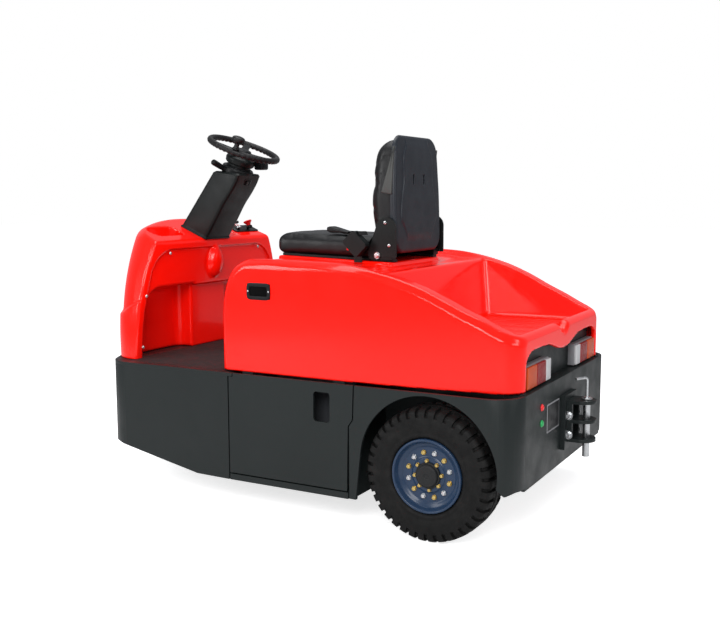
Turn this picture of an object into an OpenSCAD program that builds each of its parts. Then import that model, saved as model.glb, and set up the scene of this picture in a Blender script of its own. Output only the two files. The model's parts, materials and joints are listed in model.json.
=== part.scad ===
// Seated electric tow tractor with a load tray behind the seat.
// +Z is up, the nose points to -Y and the operator's left hand is +X.
// The origin is on the ground under the middle of the whole machine.
// Stations are measured forward from the rear plate, see the function st().

/* [Overall] */
// Length of the steel frame, from the bowed nose to the rear plate
body_l = 1795; // [1700:5:1950]
// Width over the steel side plates
body_w = 1091; // [1040:1:1140]
// Height of the deck over the ground
deck_z = 501; // [485:1:530]
// Distance from the nose back to the front axle
nose_overhang = 285; // [265:1:300]
// Distance from the rear plate to the rear axle
rear_overhang = 300; // [285:1:320]

/* [Steel frame] */
// Thickness of the frame plates
plate_t = 12; // [8:1:14]
// Thickness of the deck and door plates
sheet_t = 8; // [6:1:10]
// Corner radius of the frame seen from above
corner_r = 104; // [80:1:130]
// How far the middle of the nose stands ahead of its corners
nose_bow = 118; // [80:1:140]
// Ground clearance under the doors
sill_z = 108; // [90:1:120]
// Ground clearance under the nose
nose_z = 185; // [150:1:200]
// Ground clearance under the rear plate
tail_z = 190; // [170:1:210]
// Radius of the rear wheel arches
arch_r = 242; // [232:1:244]
// Height of the arch centre over the rear axle
arch_rise = 24; // [18:1:30]

/* [Doors] */
// Distance from the nose back to the doors
nose_l = 715; // [700:5:735]
// Station of the doors' rear edge at the deck
door_rear = 568; // [560:1:575]
// Running gap round the doors
door_gap = 5; // [4:0.5:6]
// Width of the hand hole in each door
hand_hole_w = 65; // [50:1:80]
// Height of the hand hole in each door
hand_hole_h = 104; // [80:1:120]

/* [Wheels] */
// Outer diameter of the rear tyres
rear_tyre_d = 450; // [440:1:460]
// Width of the rear tyres
rear_tyre_w = 158; // [145:1:160]
// Diameter of the rear rims
rear_rim_d = 252; // [240:1:260]
// Outer diameter of the front tyre
front_tyre_d = 380; // [360:1:390]
// Width of the front tyre
front_tyre_w = 115; // [100:1:125]
// Diameter of the front rim
front_rim_d = 206; // [190:1:215]
// Gap between a rear tyre's outer face and the plane of the side plates
tyre_inset = 0.5; // [0:0.5:20]

/* [Rear cover] */
// Height of the rear cover over the deck
cover_h = 417; // [400:1:440]
// How far the rear cover stands inside the steel sides
cover_in = 25.5; // [16:0.5:40]
// Wall thickness of the moulded covers
shell_t = 6; // [5:0.5:8]
// How far the cover reaches over the deck
cover_lap = 54; // [40:1:65]
// Distance of the cover's rear face from the rear plate
cover_back = 12; // [10:1:16]
// Gap under the rear cover
cover_gap = 5; // [5:0.5:6]
// Height of the load tray's floor over the deck
tray_floor = 147; // [140:1:155]
// Width of the tray's rim on each side
tray_rim = 80; // [70:1:100]

/* [Front cowl] */
// How far the cowl stands inside the steel sides
cowl_in = 57.5; // [45:0.5:75]
// Height of the cowl's rear edge over the deck
cowl_h = 452; // [440:1:465]
// Depth of the cowl at the deck
cowl_depth = 233; // [220:1:245]
// Slope of the cowl's top, rise for each unit forward
cowl_slope = 0.42; // [0.36:0.01:0.48]
// Height of the foot wells over the deck
well_h = 272; // [260:1:285]

/* [Steering] */
// Lean of the steering shaft from the vertical
shaft_lean = 21.5; // [18:0.5:25]
// Outer diameter of the steering wheel
hand_wheel_d = 310; // [290:1:330]
// Thickness of the steering wheel's rim
rim_t = 27; // [22:1:32]
// Height of the steering wheel's hub over the deck
hand_wheel_z = 822; // [805:1:840]
// Distance from the cowl back to the steering wheel's hub
hand_wheel_out = 175; // [165:1:185]

/* [Seat] */
// Width of the seat cushion
seat_w = 430; // [400:1:450]
// Thickness of the seat cushion
cushion_t = 72; // [60:1:80]
// Height of the backrest over its lower edge
back_h = 409; // [390:1:420]
// Width of the backrest
back_w = 390; // [370:1:394]
// Distance from the load tray to the backrest
back_gap = 99; // [92:1:112]

/* [Coupling] */
// Reach of the coupling behind the rear plate
hitch_reach = 105; // [95:1:115]
// Diameter of the coupling pin
pin_d = 25; // [20:1:28]
// Clear height of each coupling slot
slot_h = 56; // [50:1:58]
// Thickness of the coupling plates
tier_t = 12; // [8:1:14]

/* [Hidden] */
$fn = 48;

// Rise of the seat for each unit forward
cushion_tilt = 0.03;
// Reach of the seat cushion ahead of the backrest's rear face
cushion_front = 518;
// Clearance of pieces that seat on each other
seat_gap = 0.3;
// Clearance round turning pins
pin_gap = 0.3;
// Overcut of holes and pockets
over = 2;
// Colours
steel_grey = "#323838";
signal_red = "#f5271c";
rim_blue = "#33475f";
satin_black = "#1c2120";
rubber_black = "#17181a";
lamp_amber = "#e8730f";
zinc_grey = "#a9adb0";

// Stations and heights that other pieces follow
half_w = body_w / 2;
y_rear = (body_l - hitch_reach) / 2;
front_st = body_l - nose_overhang;
door_front = body_l - nose_l;
cover_front = door_front + cover_lap;
cover_half = half_w - cover_in;
tray_half = cover_half - tray_rim;
tray_front = along(0.4153);
back_st = tray_front + back_gap;
cowl_half = half_w - cowl_in;
cowl_rear = body_l - cowl_depth;
hand_wheel_st = cowl_rear - hand_wheel_out;
deck_under = deck_z - plate_t;
inner_half = half_w - plate_t;
door_low = 1.25 * sill_z;
kink_low = 0.719 * deck_z;
kink_high = 0.766 * deck_z;
nose_st = door_front + door_gap;
cover_low = deck_z + cover_gap;
arch_z = rear_tyre_d / 2 + arch_rise;
tier_pitch = slot_h + tier_t;
tier_low = 0.806 * deck_z - 2 * tier_pitch;

// Height of the seat riser's top at a station
function seat_up(d) = deck_z + 0.933 * cover_h + cushion_tilt * (d - back_st);
// Station at a share of the rear cover's length
function along(f) = cover_back + f * (cover_front - cover_back);
// y of a station, counted forward from the rear plate
function st(d) = y_rear - d;
// Points of an arc round [x, y] from angle a to angle b in k steps
function arc(x, y, r, a, b, k) = [for (i = [0:k]) let (t = a + (b - a) * i / k) [x + r * cos(t), y + r * sin(t)]];
// The same points seen in a mirror at x = 0, in reverse order
function mirrored(p) = [for (i = [len(p) - 1:-1:0]) [-p[i][0], p[i][1]]];

// Solid through a list of rings with equally many points each, every ring
// turning anticlockwise as seen from the side the rings advance to
module loft(rings) {
  n = len(rings[0]);
  m = len(rings);
  walls = [
    for (i = [0:m - 2], j = [0:n - 1])
      [i * n + j, (i + 1) * n + j, (i + 1) * n + (j + 1) % n, i * n + (j + 1) % n]
  ];
  first = [for (j = [0:n - 1]) j];
  last = [for (j = [n - 1:-1:0]) (m - 1) * n + j];
  polyhedron([for (r = rings) each r], concat([first], walls, [last]), convexity = 8);
}

// Prism of a side view given as [station, z] points, between two x planes
module side_prism(points, x0, x1) {
  translate([x0, 0, 0])
    rotate([90, 0, 90])
      linear_extrude(x1 - x0)
        polygon([for (p = points) [st(p[0]), p[1]]]);
}

// Box between two stations
module st_box(x0, x1, d0, d1, z0, z1) {
  translate([x0, st(d1), z0])
    cube([x1 - x0, d1 - d0, z1 - z0]);
}

// Box with upright edges rounded to radius r
module round_box(x, y, z, r) {
  linear_extrude(z)
    round_rect(x, y, r);
}

// Rectangle with rounded corners, centred
module round_rect(x, y, r) {
  square([x - 2 * r, y], center = true);
  square([x, y - 2 * r], center = true);
  for (i = [-1, 1], j = [-1, 1])
    translate([i * (x / 2 - r), j * (y / 2 - r)])
      circle(r);
}

// Turned piece along the X axis from [x, r] points
module turned_x(points) {
  rotate([0, 90, 0])
    rotate_extrude()
      polygon([for (p = points) [p[1], p[0]]]);
}

// Copies a piece to the other side of the machine
module both_sides() {
  children();
  mirror([1, 0, 0])
    children();
}

// Plan of the steel frame, drawn in by the distance inset
module frame_plan(inset) {
  a = half_w - corner_r;
  bow_r = (pow(a, 2) + pow(nose_bow, 2) + 2 * nose_bow * corner_r) / (2 * nose_bow);
  bow_c = body_l - bow_r;
  corner_st = body_l - nose_bow - corner_r;
  touch_x = a + corner_r * a / (bow_r - corner_r);
  union() {
    translate([-half_w + inset, st(corner_st)])
      square([body_w - 2 * inset, corner_st - corner_r]);
    translate([-a, st(corner_st)])
      square([2 * a, corner_st - inset]);
    for (i = [-1, 1], d = [corner_st, corner_r])
      translate([i * a, st(d)])
        circle(corner_r - inset, $fn = 96);
    intersection() {
      translate([0, st(bow_c)])
        circle(bow_r - inset, $fn = 360);
      translate([-touch_x, st(body_l)])
        square([2 * touch_x, nose_bow + corner_r]);
    }
  }
}

// Wall that follows the plan, as thick as a frame plate
module frame_wall(z0, z1) {
  translate([0, 0, z0])
    linear_extrude(z1 - z0)
      difference() {
        frame_plan(0);
        frame_plan(plate_t);
      }
}

// Nose of the frame, open below, with the ramped lower edge
module nose_frame() {
  color(steel_grey)
    intersection() {
      frame_wall(sill_z, deck_under);
      side_prism([
        [nose_st, sill_z], [nose_st + 145, sill_z + 2], [nose_st + 442, nose_z - 18],
        [nose_st + 534, nose_z], [body_l + over, nose_z], [body_l + over, deck_z], [nose_st, deck_z]
      ], -half_w - over, half_w + over);
    }
}

// Side view of the rear side plates with the wheel arch cut out
module rear_side_view() {
  difference() {
    polygon([
      [st(plate_t), tail_z + 10], [st(35), tail_z], [st(corner_r), tail_z], [st(rear_overhang), sill_z + 2],
      [st(door_rear + 20 - door_gap), sill_z + 2], [st(door_rear + 20 - door_gap), kink_low],
      [st(door_rear + 4 - door_gap), kink_high], [st(door_rear - door_gap), deck_z], [st(0), deck_z], [st(0), tail_z + 10]
    ]);
    translate([st(rear_overhang), arch_z])
      circle(arch_r, $fn = 120);
    polygon([
      [st(rear_overhang - arch_r + 8), arch_z - 30], [st(38), tail_z - over], [st(rear_overhang), 0],
      [st(rear_overhang + arch_r + 16), sill_z - over], [st(rear_overhang + arch_r), arch_z + 10],
      [st(rear_overhang), arch_z]
    ]);
  }
}

// Left rear side plate with the rounded rear corner
module side_plate(side) {
  color(steel_grey)
    intersection() {
      frame_wall(sill_z, deck_z);
      translate([min(side * (half_w - corner_r), side * (half_w + over)), 0, 0])
        rotate([90, 0, 90])
          linear_extrude(corner_r + over)
            rear_side_view();
    }
}

module side_plate_left() {
  side_plate(1);
}

module side_plate_right() {
  side_plate(-1);
}

// Flat plate across the tail between the rounded corners, with a ledge for the lamps
ledge_st = 76;
module rear_plate() {
  color(steel_grey) {
    st_box(-half_w + corner_r, half_w - corner_r, 0, plate_t, tail_z, deck_z);
    st_box(-half_w + corner_r, half_w - corner_r, 0, ledge_st, deck_under, deck_z);
    both_sides()
      st_box(half_w - corner_r - 28, half_w - corner_r - 4, cover_back - 4, cover_back + 10, deck_z, cover_low - seat_gap);
  }
}

// Rails on the axle between tail and bulkhead, and rails above the doors with rests for the cover
rest_l = 45;
rail_out = 68.5;
module frame_rails() {
  rail_x = tyre_in - rail_out;
  rail_low = 0.456 * rear_tyre_d;
  side_rail = inner_half - sheet_t;
  color(steel_grey)
    both_sides() {
      difference() {
        st_box(rail_x, rail_x + plate_t, plate_t, door_rear - plate_t, rail_low, deck_under);
        translate([0, st(rear_overhang), rear_tyre_d / 2])
          rotate([0, 90, 0])
            cylinder(h = half_w, r = axle_r + seat_gap);
        st_box(0, half_w, rear_overhang - axle_r - seat_gap, rear_overhang + axle_r + seat_gap, 0, rear_tyre_d / 2);
      }
      st_box(side_rail - 3 * plate_t, side_rail, door_rear, nose_st, deck_under - 2.3 * plate_t, deck_under);
      for (d = [door_rear + rest_l, door_front - 2 * rest_l])
        st_box(cover_half - shell_t - 4, cover_half + 2, d, d + rest_l, deck_under, cover_low - seat_gap);
    }
}

// Deck over the nose, with an ear over each door's hinge pin
module deck_plate() {
  ear = 14;
  color(steel_grey)
    difference() {
      translate([0, 0, deck_under])
        linear_extrude(plate_t)
          intersection() {
            frame_plan(0);
            union() {
              translate([-half_w, st(body_l)])
                square([body_w, body_l - nose_st]);
              for (i = [-1, 1])
                translate([i * (half_w - plate_t / 2) - plate_t / 2, st(body_l)])
                  square([plate_t, body_l - door_front + ear]);
            }
          }
      for (i = [-1, 1])
        translate([i * hinge_x, st(door_front - hinge_in), deck_under - over])
          cylinder(h = plate_t + 2 * over, r = hinge_r + pin_gap);
    }
}

// Door hinge axis, in the middle of the door plate near its front edge
hinge_r = 2.5;
hinge_in = 5;
hinge_x = half_w - sheet_t / 2;

// Tray that carries the battery, with the sills under the doors
module battery_tray() {
  sill_in = 24;
  color(steel_grey)
    difference() {
      union() {
        st_box(-half_w, half_w, door_rear + 20, door_front, sill_z, sill_z + plate_t);
        both_sides()
          st_box(half_w - sill_in, half_w, door_rear + 20, door_front, sill_z, door_low - door_gap);
      }
      for (i = [-1, 1])
        translate([i * hinge_x, st(door_front - hinge_in), door_low - 14])
          cylinder(h = 20, r = hinge_r + pin_gap);
    }
}

// Bulkheads before and behind the battery
module bulkheads() {
  color(steel_grey) {
    st_box(-inner_half, inner_half, nose_st, nose_st + plate_t, sill_z + 2, deck_under);
    st_box(-inner_half, inner_half, door_rear - plate_t, door_rear, sill_z + plate_t, deck_under);
  }
}

// Traction battery as one block
battery_half = 0.825 * half_w;
battery_up = 0.285 * cover_h;
module battery_pack() {
  color("#3a3d42")
    st_box(-battery_half, battery_half, door_rear + 40, door_front - 20, sill_z + plate_t, deck_z + battery_up);
}

// Rear axle: tube, gear case in the middle, brake drums and wheel stubs
axle_r = 50;
stub_r = 22;
tyre_out = half_w - tyre_inset;
tyre_in = tyre_out - rear_tyre_w;
drum_r = 96;
case_r = 125;
module rear_axle() {
  drum_x = tyre_out - 0.39 * rear_tyre_w;
  stub_x = tyre_out - 0.1 * rear_tyre_w;
  color("#3b3f42")
    translate([0, st(rear_overhang), rear_tyre_d / 2])
      turned_x([
        [-stub_x, 0], [-stub_x, stub_r], [-drum_x, stub_r], [-drum_x, drum_r], [-tyre_in, drum_r],
        [-tyre_in, axle_r], [-1.2 * case_r, axle_r], [-0.96 * case_r, 0.88 * case_r], [0.48 * case_r, case_r],
        [0.72 * case_r, axle_r], [tyre_in, axle_r], [tyre_in, drum_r], [drum_x, drum_r], [drum_x, stub_r],
        [stub_x, stub_r], [stub_x, 0]
      ]);
}

// Drive motor bolted to the gear case
module drive_motor() {
  motor_r = 0.76 * case_r;
  color("#4a4e52")
    translate([-0.24 * case_r, st(rear_overhang + case_r + seat_gap), rear_tyre_d / 2])
      rotate([90, 0, 0])
        cylinder(h = 0.96 * case_r, r = motor_r);
}

// Side door with its hand hole and hinge pins
module door(side) {
  hole_st = door_rear + 123;
  hole_z = 0.83 * deck_z;
  x0 = half_w - sheet_t;
  color(steel_grey)
    mirror([side < 0 ? 1 : 0, 0, 0]) {
      difference() {
        side_prism([
          [door_front, door_low], [door_rear + 24, door_low], [door_rear + 20, kink_low],
          [door_rear + 4, kink_high], [door_rear, deck_z], [door_front, deck_z]
        ], x0, half_w);
        st_box(x0 - over, half_w + over, door_front - 18, door_front + over, deck_under - 1, deck_z + over);
        translate([x0 - over, st(hole_st), hole_z])
          rotate([90, 0, 90])
            linear_extrude(sheet_t + 2 * over)
              round_rect(hand_hole_w, hand_hole_h, 12);
      }
      translate([hinge_x, st(door_front - hinge_in), door_low - 10])
        cylinder(h = deck_under - door_low + 20, r = hinge_r);
    }
}

module door_left() {
  door(1);
}

module door_right() {
  door(-1);
}

// How far the middle of the cowl stands ahead of its corners
cowl_bow = 80;
cowl_corner = 80;
cowl_edge = 12;
// Half width of the cowl at a height over the deck
function cowl_x(h) = cowl_half * (1 - 0.1885 * pow(max(h, 0) / cowl_h, 2.6));
// Station of the cowl's rear edge at a height over the deck
function cowl_st(h) = cowl_rear - 0.062 * h;
// Height of the cowl's sloping top at a station
function cowl_top(d) = deck_z + cowl_h + cowl_slope * (d - cowl_st(cowl_h));
// Station where the cowl's front corners end, stepped out below the crease
function cowl_nose(h) =
  body_l - nose_bow * (1 - lookup(h / cowl_h, [
    [0, 0.153], [0.38, 0.17], [0.407, 0.068], [0.885, 0.068], [1.04, -0.017], [1.128, -0.186], [1.195, -0.508]
  ]));

// Station of the cowl's front face at a distance x from the middle
function cowl_face(x, h) =
  let (
    r = cowl_corner * (1 - 0.25 * h / cowl_h), a = cowl_x(h) - r,
    bow_r = (a * a + cowl_bow * cowl_bow + 2 * cowl_bow * r) / (2 * cowl_bow)
  )
  cowl_nose(h) + cowl_bow - bow_r + sqrt(bow_r * bow_r - x * x);

// Outline of the cowl at a height over the deck, anticlockwise from above
function cowl_ring(h) =
  let (
    w = cowl_x(h), d = cowl_nose(h), r = cowl_corner * (1 - 0.25 * h / cowl_h), bow = cowl_bow,
    a = w - r,
    bow_r = (a * a + bow * bow + 2 * bow * r) / (2 * bow),
    t = asin(a / (bow_r - r)),
    y = st(d - r),
    right = concat(
      [for (p = arc(0, st(d + bow - bow_r), bow_r, 270, 270 + t, 8)) p],
      [for (i = [1:6]) let (q = 270 + t + (90 - t) * i / 6) [a + r * cos(q), y + r * sin(q)]],
      arc(w - cowl_edge, st(cowl_st(h) + cowl_edge), cowl_edge, 0, 90, 3)
    ),
    n = len(right)
  )
  [
    for (i = [0:2 * n - 2])
      let (p = i < n ? right[i] : [-right[2 * n - 1 - i][0], right[2 * n - 1 - i][1]])
      [p[0], p[1], deck_z + h]
  ];

// Room for one foot beside the centre box, rounded at its upper corners
box_half = 120;
well_wall = 30;
well_round = 60;
module foot_well(side) {
  x0 = box_half;
  x1 = cowl_half - well_wall - 8;
  mirror([side < 0 ? 1 : 0, 0, 0])
    translate([0, st(well_st), deck_z])
      rotate([90, 0, 0])
        mirror([0, 0, 1])
          linear_extrude(well_st)
            difference() {
              translate([x0, 0])
                square([x1 - x0, well_h]);
              translate([x1 - well_round, well_h - well_round])
                difference() {
                  square(well_round + over);
                  circle(well_round);
                }
            }
}

// Moulded cowl that carries the column, with foot wells and a cup recess
module front_cowl() {
  cowl_front = cowl_rear - 0.4 * cowl_depth;
  color(signal_red) {
    intersection() {
      knee_bulge();
      st_box(-half_w, half_w, 0, cowl_rear + 16, deck_z, deck_z + cowl_h);
    }
    difference() {
      loft([
        for (f = [0, 0.22, 0.38, 0.407, 0.575, 0.73, 0.863, 0.951, 1.018, 1.084, 1.139, 1.195])
          cowl_ring(f * cowl_h)
      ]);
      side_prism([
        [cowl_front, cowl_top(cowl_front)], [body_l, cowl_top(body_l)],
        [body_l, deck_z + 1.4 * cowl_h], [cowl_front, deck_z + 1.4 * cowl_h]
      ], -half_w, half_w);
      foot_well(1);
      foot_well(-1);
      cup_recess();
      knee_recess();
      both_sides()
        in_nose()
          translate([0, 0, -lamp_deep])
            cylinder(h = 2 * lamp_deep, r = lamp_r + seat_gap);
    }
  }
}

// Oval tray for small things in the cowl's top
cup_x = 0.471 * cowl_half;
cup_st = cowl_rear + 0.25 * cowl_depth;
cup_r = 40;
module cup_recess() {
  translate([0, 0, cowl_top(cup_st) - 1.25 * cup_r])
    hull()
      for (i = [-1, 1])
        translate([cup_x + i * 1.3 * cup_r, st(cup_st), 0])
          cylinder(h = 3 * cup_r, r = cup_r, $fn = 32);
}

// Shallow panel sunk into the cowl's rear face above the foot wells
module knee_recess() {
  inner = 0.803 * cowl_half;
  translate([0, st(cowl_rear - 12), deck_z + well_h - over])
    rotate([90, 0, 0])
      linear_extrude(30)
        difference() {
          translate([-inner, 0])
            square([2 * inner, cowl_h - well_h - 30]);
          for (i = [-1, 1])
            translate([i * (inner - 70), cowl_h - well_h - 100])
              difference() {
                translate([i > 0 ? 0 : -80, 0])
                  square(80);
                circle(70);
              }
        }
}

// Rounded bulge over the column's lower joint
module knee_bulge() {
  bulge_r = 42;
  bulge_up = 0.792 * cowl_h;
  translate([0, st(cowl_rear + bulge_r / 3), deck_z + bulge_up])
    hull()
      for (i = [-1, 1])
        translate([0, 0, i * 0.667 * bulge_r])
          sphere(bulge_r, $fn = 32);
}

// Round headlamps set in sockets in the nose of the cowl
lamp_x = 0.537 * cowl_half;
lamp_up = 0.664 * cowl_h;
lamp_r = 55;
lamp_deep = 45;
module in_nose() {
  translate([lamp_x, st(cowl_face(lamp_x, lamp_up)), deck_z + lamp_up])
    rotate([90, 0, 0])
      children();
}

module head_lamps() {
  color("#dfe4e8")
    both_sides()
      in_nose()
        translate([0, 0, seat_gap - lamp_deep])
          cylinder(h = lamp_deep - 8, r = lamp_r);
}

// Ring of the column with chamfered corners at one end, given by its rear and front stations
function column_ring(half, d0, z0, d1, z1, c) =
  let (k = c * (z1 - z0) / (d1 - d0))
  [
    [half - c, st(d1), z1], [half, st(d1 - c), z1 - k], [half, st(d0 + c), z0 + k], [half - c, st(d0), z0],
    [c - half, st(d0), z0], [-half, st(d0 + c), z0 + k], [-half, st(d1 - c), z1 - k], [c - half, st(d1), z1]
  ];

// Box column that leans towards the driver
column_half = 84;
column_depth = 124;
column_drop = 103;
column_base = cowl_rear - 0.21 * column_depth;
column_top_z = deck_z + hand_wheel_z - column_drop;
column_top_st = hand_wheel_st - 0.32 * column_drop;
column_slope = 0.122;
module steering_column() {
  edge = 0.12 * column_half;
  d1 = column_base + column_depth;
  top_l = 1.056 * column_depth;
  top_front = column_top_st + top_l;
  color(satin_black)
    loft([
      column_ring(column_half, column_base, cowl_top(column_base) + seat_gap, d1, cowl_top(d1) + seat_gap, edge),
      column_ring(0.917 * column_half, column_top_st, column_top_z, top_front, column_top_z + column_slope * top_l, edge)
    ]);
}

// Places a piece in the frame of the steering shaft, z along the shaft
module on_shaft() {
  translate([0, st(hand_wheel_st), deck_z + hand_wheel_z])
    rotate([-shaft_lean, 0, 0])
      children();
}

// Switch housing between the column and the steering wheel
shaft_r = 12;
shaft_l = 58;
hub_r = 34;
hub_h = 22;
head_r = 48;
module column_head() {
  reach = 4 * head_r;
  low_st = column_top_st - reach;
  high_st = column_top_st + 2 * reach;
  color(satin_black)
    difference() {
      on_shaft()
        union() {
          translate([0, 0, -1.5 * column_drop])
            cylinder(h = 1.5 * column_drop - 1.5 * hub_h, r = head_r);
          translate([0, 0, -1.5 * hub_h])
            cylinder(h = hub_h / 2 - pin_gap, r1 = head_r, r2 = hub_r);
        }
      side_prism([
        [low_st, column_top_z - column_slope * reach + seat_gap], [low_st, column_top_z - reach],
        [high_st, column_top_z - reach], [high_st, column_top_z + column_slope * (high_st - column_top_st) + seat_gap]
      ], -reach, reach);
      on_shaft()
        translate([0, 0, -shaft_l - 2])
          cylinder(h = shaft_l + 2, r = shaft_r + pin_gap);
    }
}

// Travel direction lever on the left and the light switch on the right
module direction_lever() {
  lean = 78;
  lever_l = 1.92 * head_r;
  color(satin_black)
    on_shaft()
      translate([0, 0, -1.46 * head_r]) {
        translate([head_r + 1, 0, 0])
          rotate([0, lean, 0])
            cylinder(h = lever_l, r = 5);
        translate([head_r + 1 + lever_l * sin(lean), 0, lever_l * cos(lean)])
          sphere(11);
      }
}

// Steering wheel with three spokes, hub and shaft
wheel_r = (hand_wheel_d - rim_t) / 2;
module steering_wheel() {
  spoke_w = 34;
  color(rubber_black)
    on_shaft() {
      rotate_extrude($fn = 96)
        translate([wheel_r, 0])
          circle(rim_t / 2);
      translate([0, 0, -hub_h])
        cylinder(h = hub_h, r = hub_r);
      translate([0, 0, -shaft_l])
        cylinder(h = shaft_l - 0.8 * hub_h, r = shaft_r);
      for (a = [90, 210, 330])
        rotate([0, 0, a])
          translate([0.65 * hub_r, -spoke_w / 2, -9])
            cube([wheel_r - 0.7 * hub_r, spoke_w, 8]);
    }
}

// Knob for turning the wheel with one hand
knob_angle = 22;
knob_r = 27;
module spinner_knob() {
  color(rubber_black)
    on_shaft()
      rotate([0, 0, knob_angle])
        translate([wheel_r, 0, rim_t / 2 + seat_gap]) {
          cylinder(h = 0.82 * knob_r, r = 0.52 * knob_r);
          translate([0, 0, 0.82 * knob_r])
            cylinder(h = 0.52 * knob_r, r1 = 0.74 * knob_r, r2 = knob_r);
          translate([0, 0, 1.34 * knob_r])
            cylinder(h = 0.67 * knob_r, r = knob_r);
        }
}

// Switch plate on the right of the cowl's top
panel_x = -0.586 * cowl_half;
panel_st = cowl_rear + 0.19 * cowl_depth;
panel_w = 170;
panel_d = 62;
module on_panel() {
  translate([panel_x, st(panel_st), cowl_top(panel_st)])
    rotate([-atan(cowl_slope), 0, 0])
      translate([0, 0, seat_gap])
        children();
}

module control_panel() {
  color(satin_black)
    on_panel()
      round_box(panel_w, panel_d, 4, 10);
}

// Mushroom stop button
module stop_button() {
  color("#c8202a")
    on_panel()
      translate([-24, 0, 4 + seat_gap]) {
        cylinder(h = 22, r = 12);
        translate([0, 0, 22])
          cylinder(h = 12, r1 = 16, r2 = 21);
      }
}

// Key switch
module key_switch() {
  color(zinc_grey)
    on_panel()
      translate([41, 0, 4 + seat_gap]) {
        cylinder(h = 12, r = 13);
        translate([-1.5, -10, 12])
          cube([3, 20, 18]);
      }
}

// Pedal pad on an arm that starts at the back wall of the foot well
well_st = cowl_rear + 0.403 * cowl_depth;
pedal_h = 115;
module pedal(x, w) {
  lean = 32;
  foot_st = cowl_rear + 0.1 * cowl_depth;
  foot_z = deck_z + 0.11 * well_h;
  arm_z = foot_z + 0.45 * pedal_h;
  translate([x, st(foot_st), foot_z])
    rotate([lean, 0, 0])
      translate([-w / 2, 0, 0])
        cube([w, 10, pedal_h]);
  st_box(x - 8, x + 8, foot_st + 0.45 * pedal_h * tan(lean), well_st - seat_gap, arm_z, arm_z + 14);
}

module pedals() {
  pedal_w = 70;
  color(rubber_black) {
    pedal(-box_half - 90, pedal_w);
    pedal(-cowl_half + 148, pedal_w - 10);
  }
}

// Height of the rear cover's upper edge over the deck by station
cover_line = [
  for (p = [
    [0, 0.458], [0.024, 0.518], [0.122, 0.638], [0.275, 0.806], [0.355, 0.882], [0.435, 0.914], [0.547, 0.962],
    [0.685, 0.986], [0.824, 1], [0.881, 0.981], [0.926, 0.942], [0.958, 0.892], [0.977, 0.815], [0.991, 0.659], [1, 0.424]
  ])
    [along(p[0]), cover_h * p[1]]
];
// Half width of the rear cover by station, without its corner rounding
cover_side = [for (p = [[0, 0.91], [0.257, 0.962], [0.542, 1], [1, 1]]) [along(p[0]), cover_half * p[1]]];
// Corner rounding seen from above, radius rf in front and rr behind
function corner_loss(d, rf, rr) =
  let (u = max(0, rf - (cover_front - d)), v = max(0, rr - (d - cover_back)))
  (rf - sqrt(max(0, rf * rf - u * u))) + (rr - sqrt(max(0, rr * rr - v * v)));
// Depth of the seat platform below the cover's edge by station
cover_dish = [
  for (p = [[0.373, 0], [0.435, 0.019], [0.524, 0.053], [0.881, 0.048], [0.934, 0.019], [0.958, 0]])
    [along(p[0]), cover_h * p[1]]
];
crest_r = 28;
// Cross section of the rear cover, drawn in by the wall t
function cover_ring(d, t) =
  let (
    w = lookup(d, cover_side) - corner_loss(d, corner_r / 2.3, corner_r / 1.15) - t,
    top = deck_z + lookup(d, cover_line) - t,
    r = crest_r - t / 2,
    dish = lookup(d, cover_dish),
    side = concat(arc(w - r, top - r, r, 0, 90, 5), [[w - 1.65 * crest_r, top], [w - 3.3 * crest_r, top - dish]])
  )
  [
    for (p = concat([[-w, cover_low - min(t, over)], [w, cover_low - min(t, over)]], side, mirrored(side)))
      [p[0], st(d), p[1]]
  ];
cover_stations = [
  for (f = [
    0, 0.005, 0.018, 0.04, 0.08, 0.122, 0.194, 0.275, 0.355, 0.435, 0.524, 0.685, 0.824, 0.881, 0.926, 0.9626, 0.975,
    0.9893, 0.9964, 1
  ])
    along(f)
];

// Station inside the cover's end walls that answers to a station outside
function cover_inner(d) =
  cover_back + shell_t + (d - cover_back) * (1 - 2 * shell_t / (cover_front - cover_back));

// Space of the load tray, drawn out by the wall t
module tray_space(t) {
  low = deck_z + tray_floor - t;
  top = deck_z + 1.144 * cover_h;
  back = along(0.039);
  rear_w = 0.914 * tray_half;
  loft([
    tray_ring(low, along(0.13) - t, along(0.368) + t, 0.945 * rear_w + t, 0.945 * tray_half + t),
    tray_ring(low + 0.41 * tray_floor, along(0.066) - t, along(0.381) + t, 0.98 * rear_w + t, 0.982 * tray_half + t),
    tray_ring(top, back - t, tray_front + t, rear_w + t, tray_half + t)
  ]);
}
function tray_ring(z, d0, d1, w0, w1) = [
  [w1 - 20, st(d1), z], [w1, st(d1 - 20), z], [w0, st(d0 + 20), z], [w0 - 20, st(d0), z],
  [20 - w0, st(d0), z], [-w0, st(d0 + 20), z], [-w1, st(d1 - 20), z], [20 - w1, st(d1), z]
];

// Moulded rear cover with the load tray and the cut-out for the lamps
module rear_cover() {
  color(signal_red)
    difference() {
      union() {
        seat_riser();
        difference() {
          loft([for (d = cover_stations) cover_ring(d, 0)]);
          loft([for (d = cover_stations) cover_ring(cover_inner(d), shell_t)]);
        }
        intersection() {
          loft([for (d = cover_stations) cover_ring(d, 0)]);
          tray_space(shell_t);
        }
      }
      tray_space(0);
      lamp_cutout();
      rim_notch();
    }
}

// Cut-out in the cover's rear face, deeper over the lamps than in the middle
module lamp_cutout() {
  lift = 1.4 * lamp_h;
  edge = lamp_out + 15;
  right = [
    [0.246 * edge, 0.81 * lift], [0.37 * edge, lift], [0.64 * edge, 1.07 * lift], [0.936 * edge, lift],
    [edge, 0.88 * lift], [edge, 0]
  ];
  translate([0, st(cover_back + 3 * shell_t), cover_low - over])
    rotate([90, 0, 180])
      linear_extrude(80)
        polygon(concat(mirrored(right), right));
}

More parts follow.
